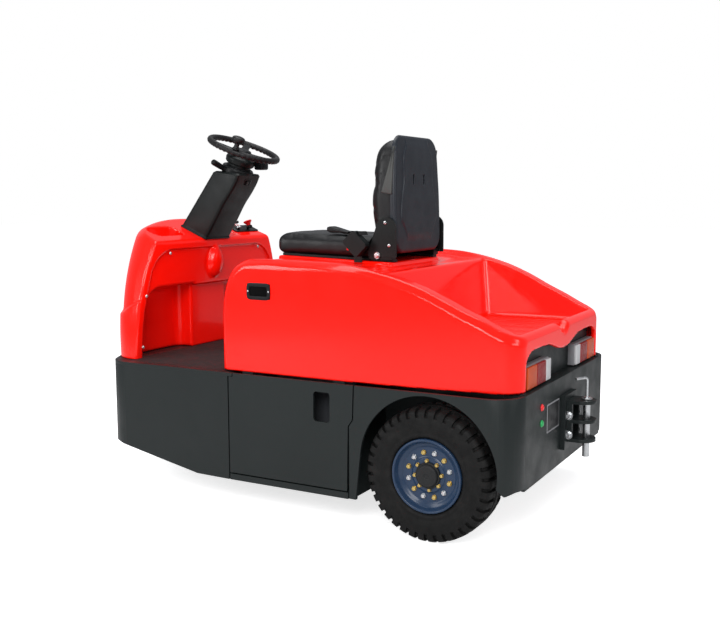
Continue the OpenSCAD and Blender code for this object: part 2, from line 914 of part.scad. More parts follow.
// Notch in the tray's rear rim above the coupling
module rim_notch() {
  notch_w = 110;
  notch_r = 28;
  translate([0, st(along(0.107)), deck_z + tray_floor + 3 + notch_r])
    rotate([-90, 0, 0])
      hull()
        for (i = [-1, 1], z = [0, cover_h / 4])
          translate([i * (notch_w / 2 - notch_r), -z, 0])
            cylinder(h = 200, r = notch_r, $fn = 32);
}

// Flush pulls on both sides of the rear cover
module pull_handles() {
  pull_w = 102;
  pull_h = 60;
  color(satin_black)
    both_sides()
      translate([cover_half + seat_gap, st(along(0.8457)), deck_z + 0.71 * cover_h])
        rotate([90, 0, 90])
          linear_extrude(4)
            difference() {
              round_rect(pull_w, pull_h, 6);
              round_rect(pull_w - 32, pull_h - 26, 4);
            }
}

// Height of the rear cover along its middle line
function cover_mid(d) = deck_z + lookup(d, cover_line) - lookup(d, cover_dish);
// Riser under the seat, moulded in one with the rear cover
seat_front = back_st + cushion_front - 9;
module seat_riser() {
  mid = [for (d = cover_stations) if (d > back_st + 20 && d < seat_front) d];
  side_prism(concat(
    [[back_st + 18, seat_up(back_st + 18)], [back_st + 18, cover_mid(back_st + 18) - 2]],
    [for (d = mid) [d, cover_mid(d) - 2]],
    [[seat_front, cover_mid(seat_front) - 2], [seat_front, seat_up(seat_front)]]
  ), -seat_w / 2, seat_w / 2);
}

// Slide rails between the riser and the cushion
rail_h = 9;
rail_w = 34;
module seat_rails() {
  color(satin_black)
    both_sides()
      side_prism([
        [back_st + 20, seat_up(back_st + 20) + seat_gap], [seat_front - 10, seat_up(seat_front - 10) + seat_gap],
        [seat_front - 10, seat_up(seat_front - 10) + rail_h], [back_st + 20, seat_up(back_st + 20) + rail_h]
      ], seat_w / 2 - rail_w - 26, seat_w / 2 - 26);
}

// Seat cushion with a rounded front edge
cushion_low = seat_up(back_st) + rail_h + seat_gap;
cushion_r = 26;
cushion_back = 124;
module seat_cushion() {
  color("#1d1e20")
    loft([
      for (a = [-75, -50, -25, -1, 1, 25, 50, 75])
        cushion_ring(sign(a) * (seat_w / 2 - cushion_r) + cushion_r * sin(a), cushion_r * cos(a))
    ]);
}
// Side view of the cushion at a distance x from the middle, with edges of radius q
function cushion_ring(x, q) =
  let (y0 = st(back_st + cushion_front), y1 = st(back_st + cushion_back), r = cushion_r)
  [
    for (p = concat(
      arc(y0 + r, r, q, 180, 270, 3), arc(y1 - r, r, q, 270, 360, 3),
      arc(y1 - r, cushion_t - r - 8, q, 0, 90, 3), arc(y0 + r + 24, cushion_t - r, q, 90, 180, 3)
    ))
      [x, p[0], cushion_low + cushion_tilt * (y1 + cushion_back - p[0]) + p[1]]
  ];

// Padded front of the backrest, its rings given by height, width and depth
back_low = cushion_low + cushion_t - 30;
back_join = 34;
module seat_back() {
  color("#1d1e20")
    loft([
      for (p = [
        [0, -24, 78], [0.06, -12, 86], [0.235, -4, 96], [0.43, 0, 119], [0.58, 0, 117], [0.72, -8, 105], [0.86, -22, 78],
        [0.94, -42, 56], [0.985, -78, 40]
      ])
        back_ring(back_low + p[0] * back_h, back_w / 2 + p[1], p[2])
    ]);
}
function back_ring(z, w, d1) = [
  [w - 30, st(back_st + d1), z], [w, st(back_st + max(d1 - 24, back_join + 3)), z], [w, st(back_st + back_join + seat_gap), z],
  [-w, st(back_st + back_join + seat_gap), z], [-w, st(back_st + max(d1 - 24, back_join + 3)), z], [30 - w, st(back_st + d1), z]
];

// Moulded shell behind the backrest
module seat_shell() {
  color("#23282f")
    loft([
      for (p = [
        [-0.05, -34, 8], [0.02, -16, 2], [0.2, -6, 0], [0.43, 0, 0], [0.58, 0, 0], [0.72, -8, 0], [0.86, -20, 0],
        [0.95, -40, 3], [1, -80, 12]
      ])
        shell_ring(back_low + p[0] * back_h, back_w / 2 + p[1], p[2])
    ]);
}
function shell_ring(z, w, d0) = [
  [w, st(back_st + back_join), z], [w, st(back_st + 20 + d0), z], [w - 30, st(back_st + d0), z],
  [30 - w, st(back_st + d0), z], [-w, st(back_st + 20 + d0), z], [-w, st(back_st + back_join), z]
];

// Side plates with feet on the rails and pivots for the backrest
hinge_plate_x = 203;
module seat_hinges() {
  pivot_up = 124;
  foot_front = back_st + 112;
  color(satin_black)
    both_sides() {
      translate([hinge_plate_x, st(back_st + 40), seat_up(back_st)])
        rotate([90, 0, 90])
          linear_extrude(8)
            hull() {
              translate([-72, 20])
                square([112, 20]);
              translate([0, pivot_up])
                circle(40);
            }
      translate([back_w / 2 - 4 + seat_gap, st(back_st + 40), seat_up(back_st) + pivot_up])
        rotate([0, 90, 0])
          cylinder(h = hinge_plate_x - back_w / 2 + 6, r = 18);
      side_prism([
        [back_st + 22, seat_up(back_st + 22) + rail_h + seat_gap], [foot_front, seat_up(foot_front) + rail_h + seat_gap],
        [foot_front, seat_up(foot_front) + rail_h + 24], [back_st + 22, seat_up(back_st + 22) + rail_h + 24]
      ], seat_w / 2 - 50, hinge_plate_x + 4);
    }
}

// Belt reel beside the seat, on a strap screwed to the riser
strap_low = cover_mid(back_st + 166) + seat_gap;
module belt_reel() {
  color(satin_black)
    translate([seat_w / 2 + seat_gap, st(back_st + 150), 0]) {
      translate([0, -16, strap_low])
        cube([5, 32, 60]);
      translate([0, 0, cushion_low + 58])
        rotate([0, 90, 0])
          rotate([0, 0, 45])
            round_box(80, 64, 34, 10);
    }
}

// Belt buckle on its stalk, screwed to the riser
module belt_buckle() {
  color(satin_black)
    translate([-seat_w / 2 - 6 - seat_gap, st(back_st + 150), strap_low]) {
      translate([0, -8, 0])
        cube([6, 16, 90]);
      translate([-14, -14, 84])
        cube([20, 28, 52]);
    }
}

// Dark panel behind the tail lamps
panel_st0 = 46;
module lamp_panel() {
  color(steel_grey)
    st_box(-lamp_out - 7, lamp_out + 7, panel_st0, panel_st0 + shell_t, deck_z, deck_z + 1.476 * lamp_h);
}

// Tail lamps, each a housing with an amber, a red and a clear lens
lamp_in = 0.285 * cover_half;
lamp_out = 0.752 * cover_half;
lamp_h = 84;
module tail_lamps() {
  lens_t = 9;
  lip = 4;
  split = [0, 0.31, 0.67, 1];
  low = deck_z + seat_gap;
  color(lamp_amber)
    both_sides() {
      st_box(lamp_in, lamp_out, cover_back + lens_t - 0.5, panel_st0 - seat_gap, low, deck_z + lamp_h);
      for (i = [0:2])
        let (x0 = lamp_in + lip, l = lamp_out - lamp_in - 2 * lip)
          st_box(x0 + split[i] * l + 1, x0 + split[i + 1] * l - 1, cover_back, cover_back + lens_t, low + lip, deck_z + lamp_h - lip);
    }
}

// Three-storey coupling with its back plate and cheeks
pin_st = -72;
pin_r = pin_d / 2;
hitch_w = 96;
module hitch_frame() {
  back_t = 16;
  color(steel_grey)
    difference() {
      union() {
        st_box(-hitch_w / 2 - 22, hitch_w / 2 + 22, -back_t, 0, tier_low - 26, tier_low + 2 * tier_pitch + tier_t + 20);
        for (i = [0:2])
          translate([0, 0, tier_low + i * tier_pitch])
            linear_extrude(tier_t)
              union() {
                translate([-hitch_w / 2, st(-back_t + 0.01)])
                  square([hitch_w, -pin_st - back_t - 10]);
                translate([0, st(pin_st + 15)])
                  circle(hitch_w / 2);
              }
        both_sides()
          st_box(hitch_w / 2 - 10, hitch_w / 2, pin_st + 38, 0, tier_low, tier_low + 2 * tier_pitch + tier_t);
      }
      translate([0, st(pin_st), tier_low - over])
        cylinder(h = 2 * tier_pitch + tier_t + 2 * over, r = pin_r + 0.5);
    }
}

// Coupling pin with its collar and bent handle
module hitch_pin() {
  collar_z = tier_low + 2 * tier_pitch + tier_t + seat_gap;
  collar_t = 6;
  bend_r = 12;
  bend_z = 78 - bend_r;
  pin_tail = 56;
  color(zinc_grey)
    translate([0, st(pin_st), 0]) {
      translate([0, 0, tier_low - pin_tail])
        cylinder(h = collar_z - tier_low + pin_tail + 10, r = pin_r);
      translate([0, 0, collar_z])
        cylinder(h = collar_t, r = pin_r + 6);
      translate([0, 0, collar_z])
        rotate([0, 0, -30])
          loft(concat(
            [rod_ring(0, collar_t - 1, 0)],
            [for (a = [0:15:90]) rod_ring(bend_r * (1 - cos(a)), bend_z + bend_r * sin(a), a)],
            [rod_ring(bend_r + 42, bend_z + bend_r, 90)]
          ));
    }
}
// Ring of the handle's rod at [x, z], leaning by the angle a from the vertical
function rod_ring(x, z, a) =
  [for (q = [0:30:330]) [x + 5 * cos(q) * cos(a), 5 * sin(q), z - 5 * cos(q) * sin(a)]];

// Fork and turntable that carry the front wheel
fork_in = front_tyre_w / 2 + 12;
fork_top = front_tyre_d + 18;
module steer_fork() {
  cheek_t = 14;
  color("#3b3f42")
    translate([0, st(front_st), 0]) {
      both_sides()
        translate([fork_in, -60, front_tyre_d / 2 - 45])
          cube([cheek_t, 120, fork_top - front_tyre_d / 2 + 45]);
      translate([0, 0, fork_top])
        cylinder(h = 24, r = 110);
      translate([0, 0, fork_top + 24])
        cylinder(h = deck_under - fork_top - 24 - seat_gap, r = 70);
      translate([-fork_in - cheek_t, 0, front_tyre_d / 2])
        rotate([0, 90, 0])
          cylinder(h = 2 * (fork_in + cheek_t), r = 16);
    }
}

// Solid tyre turned about the X axis, from its outer face to its inner one
module tyre(d, w, bore_d) {
  r = d / 2;
  b = bore_d / 2 + seat_gap;
  h = w / 2;
  turned_x([
    [-h + 10, b], [-h, b + 0.12 * (r - b)], [-h, b + 0.55 * (r - b)], [-h + 4, r - 15], [-h + 16, r - 4],
    [-h + 44, r], [h - 44, r], [h - 16, r - 4], [h - 4, r - 15], [h, b + 0.55 * (r - b)], [h, b + 0.12 * (r - b)],
    [h - 10, b]
  ]);
}

// Row of grooves that leaves lugs on one shoulder of a tyre
module lug_grooves(d, w, side) {
  groove_w = 15;
  r = d / 2;
  h = w / 2;
  for (i = [0:lug_n - 1])
    rotate([(i + 0.25 * side) * 360 / lug_n, 0, 0])
      translate([0, groove_w / 2, 0])
        rotate([90, 0, 0])
          linear_extrude(groove_w)
            polygon([
              [side * (h - 36), r + over], [side * (h - 26), r - 12], [side * (h - 8), r - 24],
              [side * (h - 5), r - 44], [side * (h + over), r - 48], [side * (h + over), r + over]
            ]);
}

// Rear tyre with a row of lugs on each shoulder
lug_n = 32;
module lugged_tyre() {
  color(rubber_black)
    difference() {
      tyre(rear_tyre_d, rear_tyre_w, rear_rim_d);
      lug_grooves(rear_tyre_d, rear_tyre_w, 1);
      lug_grooves(rear_tyre_d, rear_tyre_w, -1);
    }
}

// Pressed wheel with a sunk disc and a hub, out to the right
module wheel_rim(d, w, bore_r, dish) {
  r = d / 2;
  h = w / 2;
  t = 10;
  x = h - dish;
  color(rim_blue)
    turned_x([
      [-h + 12, r - t], [-h + 12, r], [h - 10, r], [h - 2, r + 0], [h - 2, r - t], [x + t, r - t - 4], [x + t, 62],
      [x + t + 16, 56], [x + t + 16, bore_r + 18], [x + t + 8, bore_r + 14], [x + t + 8, bore_r], [x - 6, bore_r],
      [x - 6, 62], [x, 70], [x, r - t - 8], [x - 12, r - t]
    ]);
}

// Puts a rear wheel piece in its place
module at_rear_wheel(side) {
  translate([side * (tyre_out - rear_tyre_w / 2), st(rear_overhang), rear_tyre_d / 2])
    mirror([side < 0 ? 1 : 0, 0, 0])
      children();
}

module front_tyre() {
  translate([0, st(front_st), front_tyre_d / 2])
    color(rubber_black)
      tyre(front_tyre_d, front_tyre_w, front_rim_d);
}

module front_rim() {
  translate([0, st(front_st), front_tyre_d / 2])
    color(rim_blue)
      turned_x([
        [-front_tyre_w / 2 + 4, 16 + pin_gap], [-front_tyre_w / 2 + 4, 40], [-20, 60], [-20, front_rim_d / 2 - 10],
        [-front_tyre_w / 2 + 12, front_rim_d / 2 - 10], [-front_tyre_w / 2 + 12, front_rim_d / 2],
        [front_tyre_w / 2 - 12, front_rim_d / 2], [front_tyre_w / 2 - 12, front_rim_d / 2 - 10],
        [20, front_rim_d / 2 - 10], [20, 60], [front_tyre_w / 2 - 4, 40], [front_tyre_w / 2 - 4, 16 + pin_gap]
      ]);
}

module rear_tyre_left() {
  at_rear_wheel(1)
    lugged_tyre();
}

module rear_rim_left() {
  at_rear_wheel(1)
    wheel_rim(rear_rim_d, rear_tyre_w, stub_r + pin_gap, 34);
}

module rear_tyre_right() {
  at_rear_wheel(-1)
    lugged_tyre();
}

module rear_rim_right() {
  at_rear_wheel(-1)
    wheel_rim(rear_rim_d, rear_tyre_w, stub_r + pin_gap, 34);
}

nose_frame();
side_plate_left();
side_plate_right();
rear_plate();
deck_plate();
battery_tray();
frame_rails();
bulkheads();
battery_pack();
rear_axle();
drive_motor();
door_left();
door_right();
front_cowl();
head_lamps();
steering_column();
column_head();
direction_lever();
steering_wheel();
spinner_knob();
control_panel();
stop_button();
key_switch();
pedals();
rear_cover();
pull_handles();
seat_rails();
seat_cushion();
seat_back();
seat_shell();
seat_hinges();
belt_reel();
belt_buckle();
lamp_panel();
tail_lamps();
hitch_frame();
hitch_pin();
steer_fork();
front_tyre();
front_rim();
rear_tyre_left();
rear_rim_left();
rear_tyre_right();
rear_rim_right();
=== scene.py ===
import json
import math

import bmesh
import bpy
import numpy as np
from mathutils import Matrix, Vector

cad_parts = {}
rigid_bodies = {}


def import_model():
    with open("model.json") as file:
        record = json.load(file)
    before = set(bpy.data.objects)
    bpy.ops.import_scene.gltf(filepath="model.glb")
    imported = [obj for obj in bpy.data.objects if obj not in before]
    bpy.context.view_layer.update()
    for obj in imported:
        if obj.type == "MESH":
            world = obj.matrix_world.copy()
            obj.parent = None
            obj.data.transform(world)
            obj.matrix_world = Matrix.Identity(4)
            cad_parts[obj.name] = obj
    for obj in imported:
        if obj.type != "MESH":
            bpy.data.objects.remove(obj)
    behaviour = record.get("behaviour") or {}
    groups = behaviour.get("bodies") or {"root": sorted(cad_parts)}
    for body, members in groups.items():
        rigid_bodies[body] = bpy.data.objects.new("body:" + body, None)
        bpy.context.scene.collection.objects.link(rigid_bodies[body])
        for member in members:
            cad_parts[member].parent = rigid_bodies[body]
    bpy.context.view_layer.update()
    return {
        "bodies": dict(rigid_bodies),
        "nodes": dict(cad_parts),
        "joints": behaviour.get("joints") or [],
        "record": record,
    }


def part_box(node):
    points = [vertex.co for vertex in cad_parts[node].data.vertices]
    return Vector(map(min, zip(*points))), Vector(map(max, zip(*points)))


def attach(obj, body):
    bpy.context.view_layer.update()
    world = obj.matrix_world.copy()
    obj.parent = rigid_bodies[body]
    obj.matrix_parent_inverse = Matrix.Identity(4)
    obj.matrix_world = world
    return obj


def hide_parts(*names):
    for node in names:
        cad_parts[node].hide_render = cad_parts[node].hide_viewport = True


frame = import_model()
nodes = frame["nodes"]
print("frame loaded:", len(nodes), "nodes")

# The CAD frame: +Z up, the nose to -Y, the driver's left to +X, metres.
tailY = 0.845  # the rear plate's outer face
deckZ = 0.501


def station(d):
    # y of a point d metres ahead of the rear plate
    return tailY - d


class Shader:
    # A node tree with one Principled shader and short calls that add to it
    def __init__(self, name, base, rough, metal=0.0, coat=0.0, specular=0.5):
        self.material = bpy.data.materials.new(name)
        self.material.use_nodes = True
        self.tree = self.material.node_tree
        self.bsdf = self.tree.nodes["Principled BSDF"]
        self.set(self.bsdf, "Base Color", (*base, 1))
        self.set(self.bsdf, "Roughness", rough)
        self.set(self.bsdf, "Metallic", metal)
        self.set(self.bsdf, "Coat Weight", coat)
        self.set(self.bsdf, "Coat Roughness", 0.04)
        self.set(self.bsdf, "Specular IOR Level", specular)
        self.coords = self.tree.nodes.new("ShaderNodeTexCoord").outputs["Object"]
        self.base, self.rough, self.normal = base, rough, None

    def set(self, node, socket, value):
        node.inputs[socket].default_value = value

    def node(self, kind, links=(), **values):
        made = self.tree.nodes.new("ShaderNode" + kind)
        for key, value in values.items():
            if key in made.inputs:
                made.inputs[key].default_value = value
            else:
                setattr(made, key, value)
        for source, socket in links:
            self.tree.links.new(source, made.inputs[socket])
        return made

    def noise(self, scale, detail=4.0, stretch=(1, 1, 1)):
        # Noise on Object coordinates, stretched along the axes
        placed = self.node("Mapping", [(self.coords, "Vector")], Scale=stretch)
        made = self.node("TexNoise", [(placed.outputs[0], "Vector")], Scale=scale, Detail=detail)
        return made.outputs["Fac"]

    def ramp(self, source, low, high, start=0.0, end=1.0):
        # low where source is under start, high where it is over end
        made = self.node("MapRange", [(source, "Value")])
        for socket, value in zip(("From Min", "From Max", "To Min", "To Max"), (start, end, low, high)):
            made.inputs[socket].default_value = value
        return made.outputs["Result"]

    def tint(self, factor, colour):
        # Mixes colour over the base where factor is 1
        made = self.tree.nodes.new("ShaderNodeMix")
        made.data_type = "RGBA"
        self.tree.links.new(factor, made.inputs["Factor"])
        before = self.bsdf.inputs["Base Color"]
        if before.is_linked:
            self.tree.links.new(before.links[0].from_socket, made.inputs["A"])
        else:
            made.inputs["A"].default_value = before.default_value[:]
        made.inputs["B"].default_value = (*colour, 1)
        self.tree.links.new(made.outputs["Result"], before)
        return self

    def roughness(self, source, low, high, start=0.3, end=0.7):
        self.tree.links.new(self.ramp(source, low, high, start, end), self.bsdf.inputs["Roughness"])
        return self

    def bump(self, source, strength, distance):
        made = self.node("Bump", [(source, "Height")], Strength=strength, Distance=distance)
        if self.normal:
            self.tree.links.new(self.normal, made.inputs["Normal"])
        self.normal = made.outputs["Normal"]
        self.tree.links.new(self.normal, self.bsdf.inputs["Normal"])
        return self


def paint(name, base, rough, coat=0.0, peel=0.0, grain=900.0, dull=0.08, specular=0.25):
    # Paint or gloss moulding: faint large stains, roughness patches and a fine skin
    made = Shader(name, base, rough, coat=coat, specular=specular)
    large, fine = made.noise(3.2, 3), made.noise(grain, 2)
    made.tint(made.ramp(large, 0.0, dull, 0.45, 0.75), tuple(c * 0.6 for c in base))
    made.roughness(made.noise(14, 5), rough * 0.85, rough * 1.2)
    if peel:
        made.bump(fine, peel, 0.0004)
    return made.material


def plastic(name, base, rough, grain=700.0, depth=0.25, coat=0.0, specular=0.16):
    # Moulded plastic with a leather-like grain
    made = Shader(name, base, rough, coat=coat, specular=specular)
    cells = made.node("TexVoronoi", [(made.coords, "Vector")], Scale=grain).outputs["Distance"]
    made.roughness(made.noise(20, 4), rough * 0.85, min(1.0, rough * 1.2))
    made.tint(made.ramp(made.noise(9, 3), 0, 0.25, 0.5, 0.8), tuple(min(1, c * 1.5 + 0.002) for c in base))
    made.bump(cells, depth, 0.0003)
    return made.material


def metal(name, base, rough, brush=(1, 1, 1), coat=0.0, dirt=0.3):
    # Plated or cast metal with fine scratches along one axis
    made = Shader(name, base, rough, metal=1.0, coat=coat)
    made.roughness(made.noise(60, 6, brush), rough * 0.7, rough * 1.4)
    made.tint(made.ramp(made.noise(35, 4), 0, dirt, 0.5, 0.85), tuple(c * 0.45 for c in base))
    made.bump(made.noise(300, 3, brush), 0.12, 0.0002)
    return made.material


def lens(name, colour, pitch, coat=0.08):
    # Clear lamp plastic over a reflector, with upright prisms
    made = Shader(name, colour, 0.2, coat=coat, specular=0.16)
    wave = made.node("TexWave", [(made.coords, "Vector")], Scale=pitch, bands_direction="X")
    made.tint(made.ramp(wave.outputs["Fac"], 0, 0.3), tuple(min(1, c * 0.55) for c in colour))
    made.bump(wave.outputs["Fac"], 0.5, 0.001)
    return made.material


looks = {
    "red": paint("glossRed", (0.92, 0.006, 0.002), 0.17, coat=0.2, peel=0.02, dull=0.04, specular=0.18),
    "steel": paint("frameSteel", (0.0085, 0.0115, 0.0115), 0.42, peel=0.3, grain=1400, dull=0.35, specular=0.2),
    # dark grey, the mat's own colour, with a faint red tint that is painted reflection of the red cowl and cover
    "deck": paint("deckMat", (0.016, 0.013, 0.013), 0.6, peel=0.6, grain=500, dull=0.5, specular=0.2),
    "rim": paint("rimBlue", (0.011, 0.027, 0.06), 0.34, coat=0.12, peel=0.08, dull=0.3),
    "cast": paint("castBlack", (0.01, 0.0105, 0.011), 0.5, peel=0.5, grain=400, dull=0.4, specular=0.2),
    "black": plastic("columnBlack", (0.004, 0.0055, 0.0055), 0.38, 900, 0.3),
    "switch": plastic("switchBlack", (0.004, 0.0045, 0.005), 0.35, 1200, 0.2),
    # near-black and nearly matt: painted shade, standing in for the depth of the pull pockets and the column's
    # switch recess
    "recessShade": plastic("pocketShadePaint", (0.0015, 0.0015, 0.0015), 0.7, 900, 0.2, specular=0.05),
    "shell": plastic("seatShell", (0.008, 0.011, 0.016), 0.4, 1100, 0.3, specular=0.3),
    "grip": plastic("wheelGrip", (0.0045, 0.0045, 0.005), 0.45, 800, 0.3, specular=0.25),
    "battery": plastic("batteryCase", (0.03, 0.032, 0.036), 0.55, 500, 0.3),
    "webbing": plastic("beltWebbing", (0.006, 0.006, 0.0065), 0.75, 1500, 0.5),
    "zinc": metal("zincPlate", (0.5, 0.51, 0.52), 0.32),
    "gold": metal("yellowZinc", (0.5, 0.38, 0.14), 0.34),
    "stop": paint("stopRed", (0.62, 0.012, 0.014), 0.2, coat=0.3),
    "green": paint("buttonGreen", (0.01, 0.28, 0.07), 0.3, coat=0.2),
    "label": paint("blankPlate", (0.012, 0.012, 0.013), 0.35, dull=0.3),
    "lampRim": plastic("lampRim", (0.2, 0.2, 0.21), 0.3, 900, 0.1),
    # lighter grey on the backrest's sides: painted reflection of light on the black vinyl
    "sideSheen": plastic("backrestSideSheen", (0.035, 0.038, 0.036), 0.5, 1300, 0.4, specular=0.3),
    "amber": lens("amberLens", (0.5, 0.055, 0.002), 60),
    "redLens": lens("redLens", (0.22, 0.002, 0.003), 60),
    "clearLens": lens("clearLens", (0.5, 0.5, 0.51), 60),
}

tyreShader = Shader("tyreRubber", (0.004, 0.004, 0.004), 0.68, specular=0.14)
tyreShader.tint(tyreShader.ramp(tyreShader.noise(30, 6), 0, 0.4, 0.5, 0.8), (0.014, 0.013, 0.012))
tyreShader.roughness(tyreShader.noise(45, 5), 0.5, 0.8)
tyreShader.bump(tyreShader.noise(420, 4), 0.3, 0.0005)
looks["tyre"] = tyreShader.material

vinylShader = Shader("seatVinyl", (0.0035, 0.004, 0.0045), 0.4, specular=0.24)
pores = vinylShader.node("TexVoronoi", [(vinylShader.coords, "Vector")], Scale=520.0)
vinylShader.bump(pores.outputs["Distance"], 0.35, 0.0004)
vinylShader.bump(vinylShader.noise(60, 5), 0.12, 0.001)
vinylShader.roughness(vinylShader.noise(25, 4), 0.32, 0.5)
vinylShader.tint(vinylShader.ramp(vinylShader.noise(18, 4), 0, 0.4, 0.5, 0.8), (0.01, 0.01, 0.012))
looks["vinyl"] = vinylShader.material

nodeLooks = {
    "steel": "nose_frame side_plate_left side_plate_right rear_plate deck_plate battery_tray frame_rails"
    " bulkheads door_left door_right lamp_panel hitch_frame",
    "cast": "rear_axle drive_motor steer_fork",
    "red": "front_cowl rear_cover",
    "black": "steering_column column_head direction_lever seat_rails seat_hinges belt_reel belt_buckle pedals",
    "switch": "control_panel pull_handles",
    "grip": "steering_wheel spinner_knob",
    "shell": "seat_shell",
    "vinyl": "seat_cushion seat_back",
    "tyre": "front_tyre rear_tyre_left rear_tyre_right",
    "rim": "front_rim rear_rim_left rear_rim_right",
    "battery": "battery_pack",
    "zinc": "hitch_pin key_switch",
    "clearLens": "head_lamps",
    "redLens": "tail_lamps",
    "stop": "stop_button",
}
for look, names in nodeLooks.items():
    for name in names.split():
        nodes[name].data.materials.clear()
        nodes[name].data.materials.append(looks[look])
print("materials ready:", len(bpy.data.materials))


def finished(name, mesh, body, replaces=()):
    # Links a mesh as a piece that rides on a body
    piece = bpy.data.objects.new(name, mesh)
    bpy.context.scene.collection.objects.link(piece)
    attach(piece, body)
    if replaces:
        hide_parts(*replaces)
    return piece


def addSkin(name, field, low, high, cell, body, look, replaces=()):
    # Piece from a field, shaded with the field's own slope
    verts, faces, normals = skin(field, low, high, cell)
    mesh = bpy.data.meshes.new(name)
    mesh.from_pydata(verts.tolist(), [], faces.tolist())
    mesh.materials.append(looks[look])
    mesh.polygons.foreach_set("use_smooth", np.full(len(mesh.polygons), True))
    mesh.normals_split_custom_set_from_vertices(normals.tolist())
    print(name, len(faces), "quads")
    return finished(name, mesh, body, replaces)


origin, upright = (0, 0, 0), (0, 0, 1)


class Gathered:
    # Surfaces with their looks, made into one piece
    def __init__(self):
        self.verts, self.faces, self.looks, self.count = [], [], [], 0

    def add(self, surface, look):
        verts, faces = surface
        self.verts.append(np.asarray(verts, float).reshape(-1, 3))
        self.faces.append(faces + self.count)
        self.looks += [look] * len(faces)
        self.count += len(self.verts[-1])
        return self

    def piece(self, name, body, slot=None, replaces=(), angle=35):
        # Merges points that meet, turns faces outwards and shades up to an edge angle
        mesh = bpy.data.meshes.new(name)
        mesh.from_pydata(np.concatenate(self.verts).tolist(), [], np.concatenate(self.faces).tolist())
        names = list(dict.fromkeys(self.looks))
        for look in names:
            mesh.materials.append(looks[look])
        mesh.polygons.foreach_set("material_index", [names.index(look) for look in self.looks])
        shape = bmesh.new()
        shape.from_mesh(mesh)
        bmesh.ops.remove_doubles(shape, verts=shape.verts, dist=0.000002)
        bmesh.ops.dissolve_degenerate(shape, edges=shape.edges, dist=0.000001)
        bmesh.ops.recalc_face_normals(shape, faces=shape.faces)
        shape.to_mesh(mesh)
        shape.free()
        mesh.polygons.foreach_set("use_smooth", np.full(len(mesh.polygons), True))
        mesh.set_sharp_from_angle(angle=math.radians(angle))
        return finished(name, mesh, body, replaces)


def gridFaces(rows, columns, closedRows=False, closedColumns=False):
    # Quads between neighbours in a grid of points numbered row by row
    across, along = rows if closedRows else rows - 1, columns if closedColumns else columns - 1
    i, j = np.meshgrid(np.arange(across), np.arange(along), indexing="ij")
    k, l = (i + 1) % rows, (j + 1) % columns
    return np.stack([i * columns + j, i * columns + l, k * columns + l, k * columns + j], -1).reshape(-1, 4)


def rounded(points, radius, steps=4, closed=True):
    # Polygon whose corners become short curves: from a point before the corner to one after it
    p = np.asarray(points, float)
    radius = np.broadcast_to(np.asarray(radius, float).reshape(-1, 1), (len(p), 1))

    def towards(q):
        length = np.linalg.norm(q - p, axis=1, keepdims=True)
        return p + (q - p) * np.minimum(radius / np.maximum(length, 1e-9), 0.48)

    a, b = towards(np.roll(p, 1, 0)), towards(np.roll(p, -1, 0))
    t = np.linspace(0, 1, steps + 1)[None, :, None]
    curve = a[:, None] * (1 - t) ** 2 + 2 * p[:, None] * t * (1 - t) + b[:, None] * t**2
    if closed:
        return curve.reshape(-1, p.shape[1])
    return np.concatenate([p[:1], curve[1:-1].reshape(-1, p.shape[1]), p[-1:]])


def axesOf(axis):
    # Unit vector along axis and two across it
    along = np.asarray(axis, float) / np.linalg.norm(axis)
    side = np.cross(along, (0, 0, 1.0) if abs(along[2]) < 0.9 else (1.0, 0, 0))
    side /= np.linalg.norm(side)
    return along, side, np.cross(along, side)


def turned(profile, place, axis, turns=64, closed=False):
    # Surface of a profile of (distance along the axis, radius) turned round the axis
    along, side, other = axesOf(axis)
    profile = np.asarray(profile, float)
    angle = np.arange(turns) * 2 * math.pi / turns
    ring = np.cos(angle)[:, None] * side + np.sin(angle)[:, None] * other
    verts = np.asarray(place) + profile[:, 0, None, None] * along + profile[:, 1, None, None] * ring[None]
    return verts.reshape(-1, 3), gridFaces(len(profile), turns, closed, True)


def softTurned(profile, soft, place, axis, turns=64):
    # Turned surface of an open profile whose corners are softened first
    return turned(rounded(profile, soft, 3, False), place, axis, turns)


def lofted(rings):
    # Closed solid through rings of equally many points, each end drawn to its middle
    rings = np.asarray(rings, float)
    ends = [np.broadcast_to(ring.mean(0), ring.shape)[None] for ring in (rings[0], rings[-1])]
    rings = np.concatenate([ends[0], rings, ends[1]])
    return rings.reshape(-1, 3), gridFaces(rings.shape[0], rings.shape[1], False, True)


def slab(outline, thick, edge, place, right, up, steps=3):
    # Plate with an outline in its own plane, from place outwards along right x up, with
    # rounded edges: rings drawn in by a quarter circle at the two faces
    outline = np.asarray(outline, float)
    step = np.roll(outline, -1, 0) - np.roll(outline, 1, 0)
    normal = np.stack([step[:, 1], -step[:, 0]], 1) / np.maximum(np.linalg.norm(step, axis=1), 1e-9)[:, None]
    turn = np.linspace(0, math.pi / 2, steps + 1)
    low = [(edge * (1 - math.sin(t)), edge * (1 - math.cos(t))) for t in turn]
    high = [(inset, thick - level) for inset, level in low[::-1]]
    right, up = np.asarray(right, float), np.asarray(up, float)
    out = np.cross(right, up)
    rings = []
    for inset, level in low + high:
        flat = outline - normal * inset
        rings.append(np.asarray(place) + flat[:, :1] * right + flat[:, 1:] * up + level * out)
    return lofted(rings)


def plate(width, height, corner, steps=5):
    # Rounded rectangle round the middle
    a, b = width / 2, height / 2
    return rounded([(a, -b), (a, b), (-a, b), (-a, -b)], corner, steps)


def swept(path, section, side, closed=False):
    # Section of (across, up) points carried along a path, held square to it and to the side vector
    path, section = np.asarray(path, float), np.asarray(section, float)
    step = np.roll(path, -1, 0) - np.roll(path, 1, 0) if closed else np.gradient(path, axis=0)
    step /= np.linalg.norm(step, axis=1, keepdims=True)
    side = np.broadcast_to(np.asarray(side, float), path.shape)
    up = np.cross(side, step)
    up /= np.linalg.norm(up, axis=1, keepdims=True)
    across = np.cross(step, up)
    rings = path[:, None] + section[None, :, :1] * across[:, None] + section[None, :, 1:] * up[:, None]
    if closed:
        return rings.reshape(-1, 3), gridFaces(len(path), len(section), True, True)
    return lofted(rings)


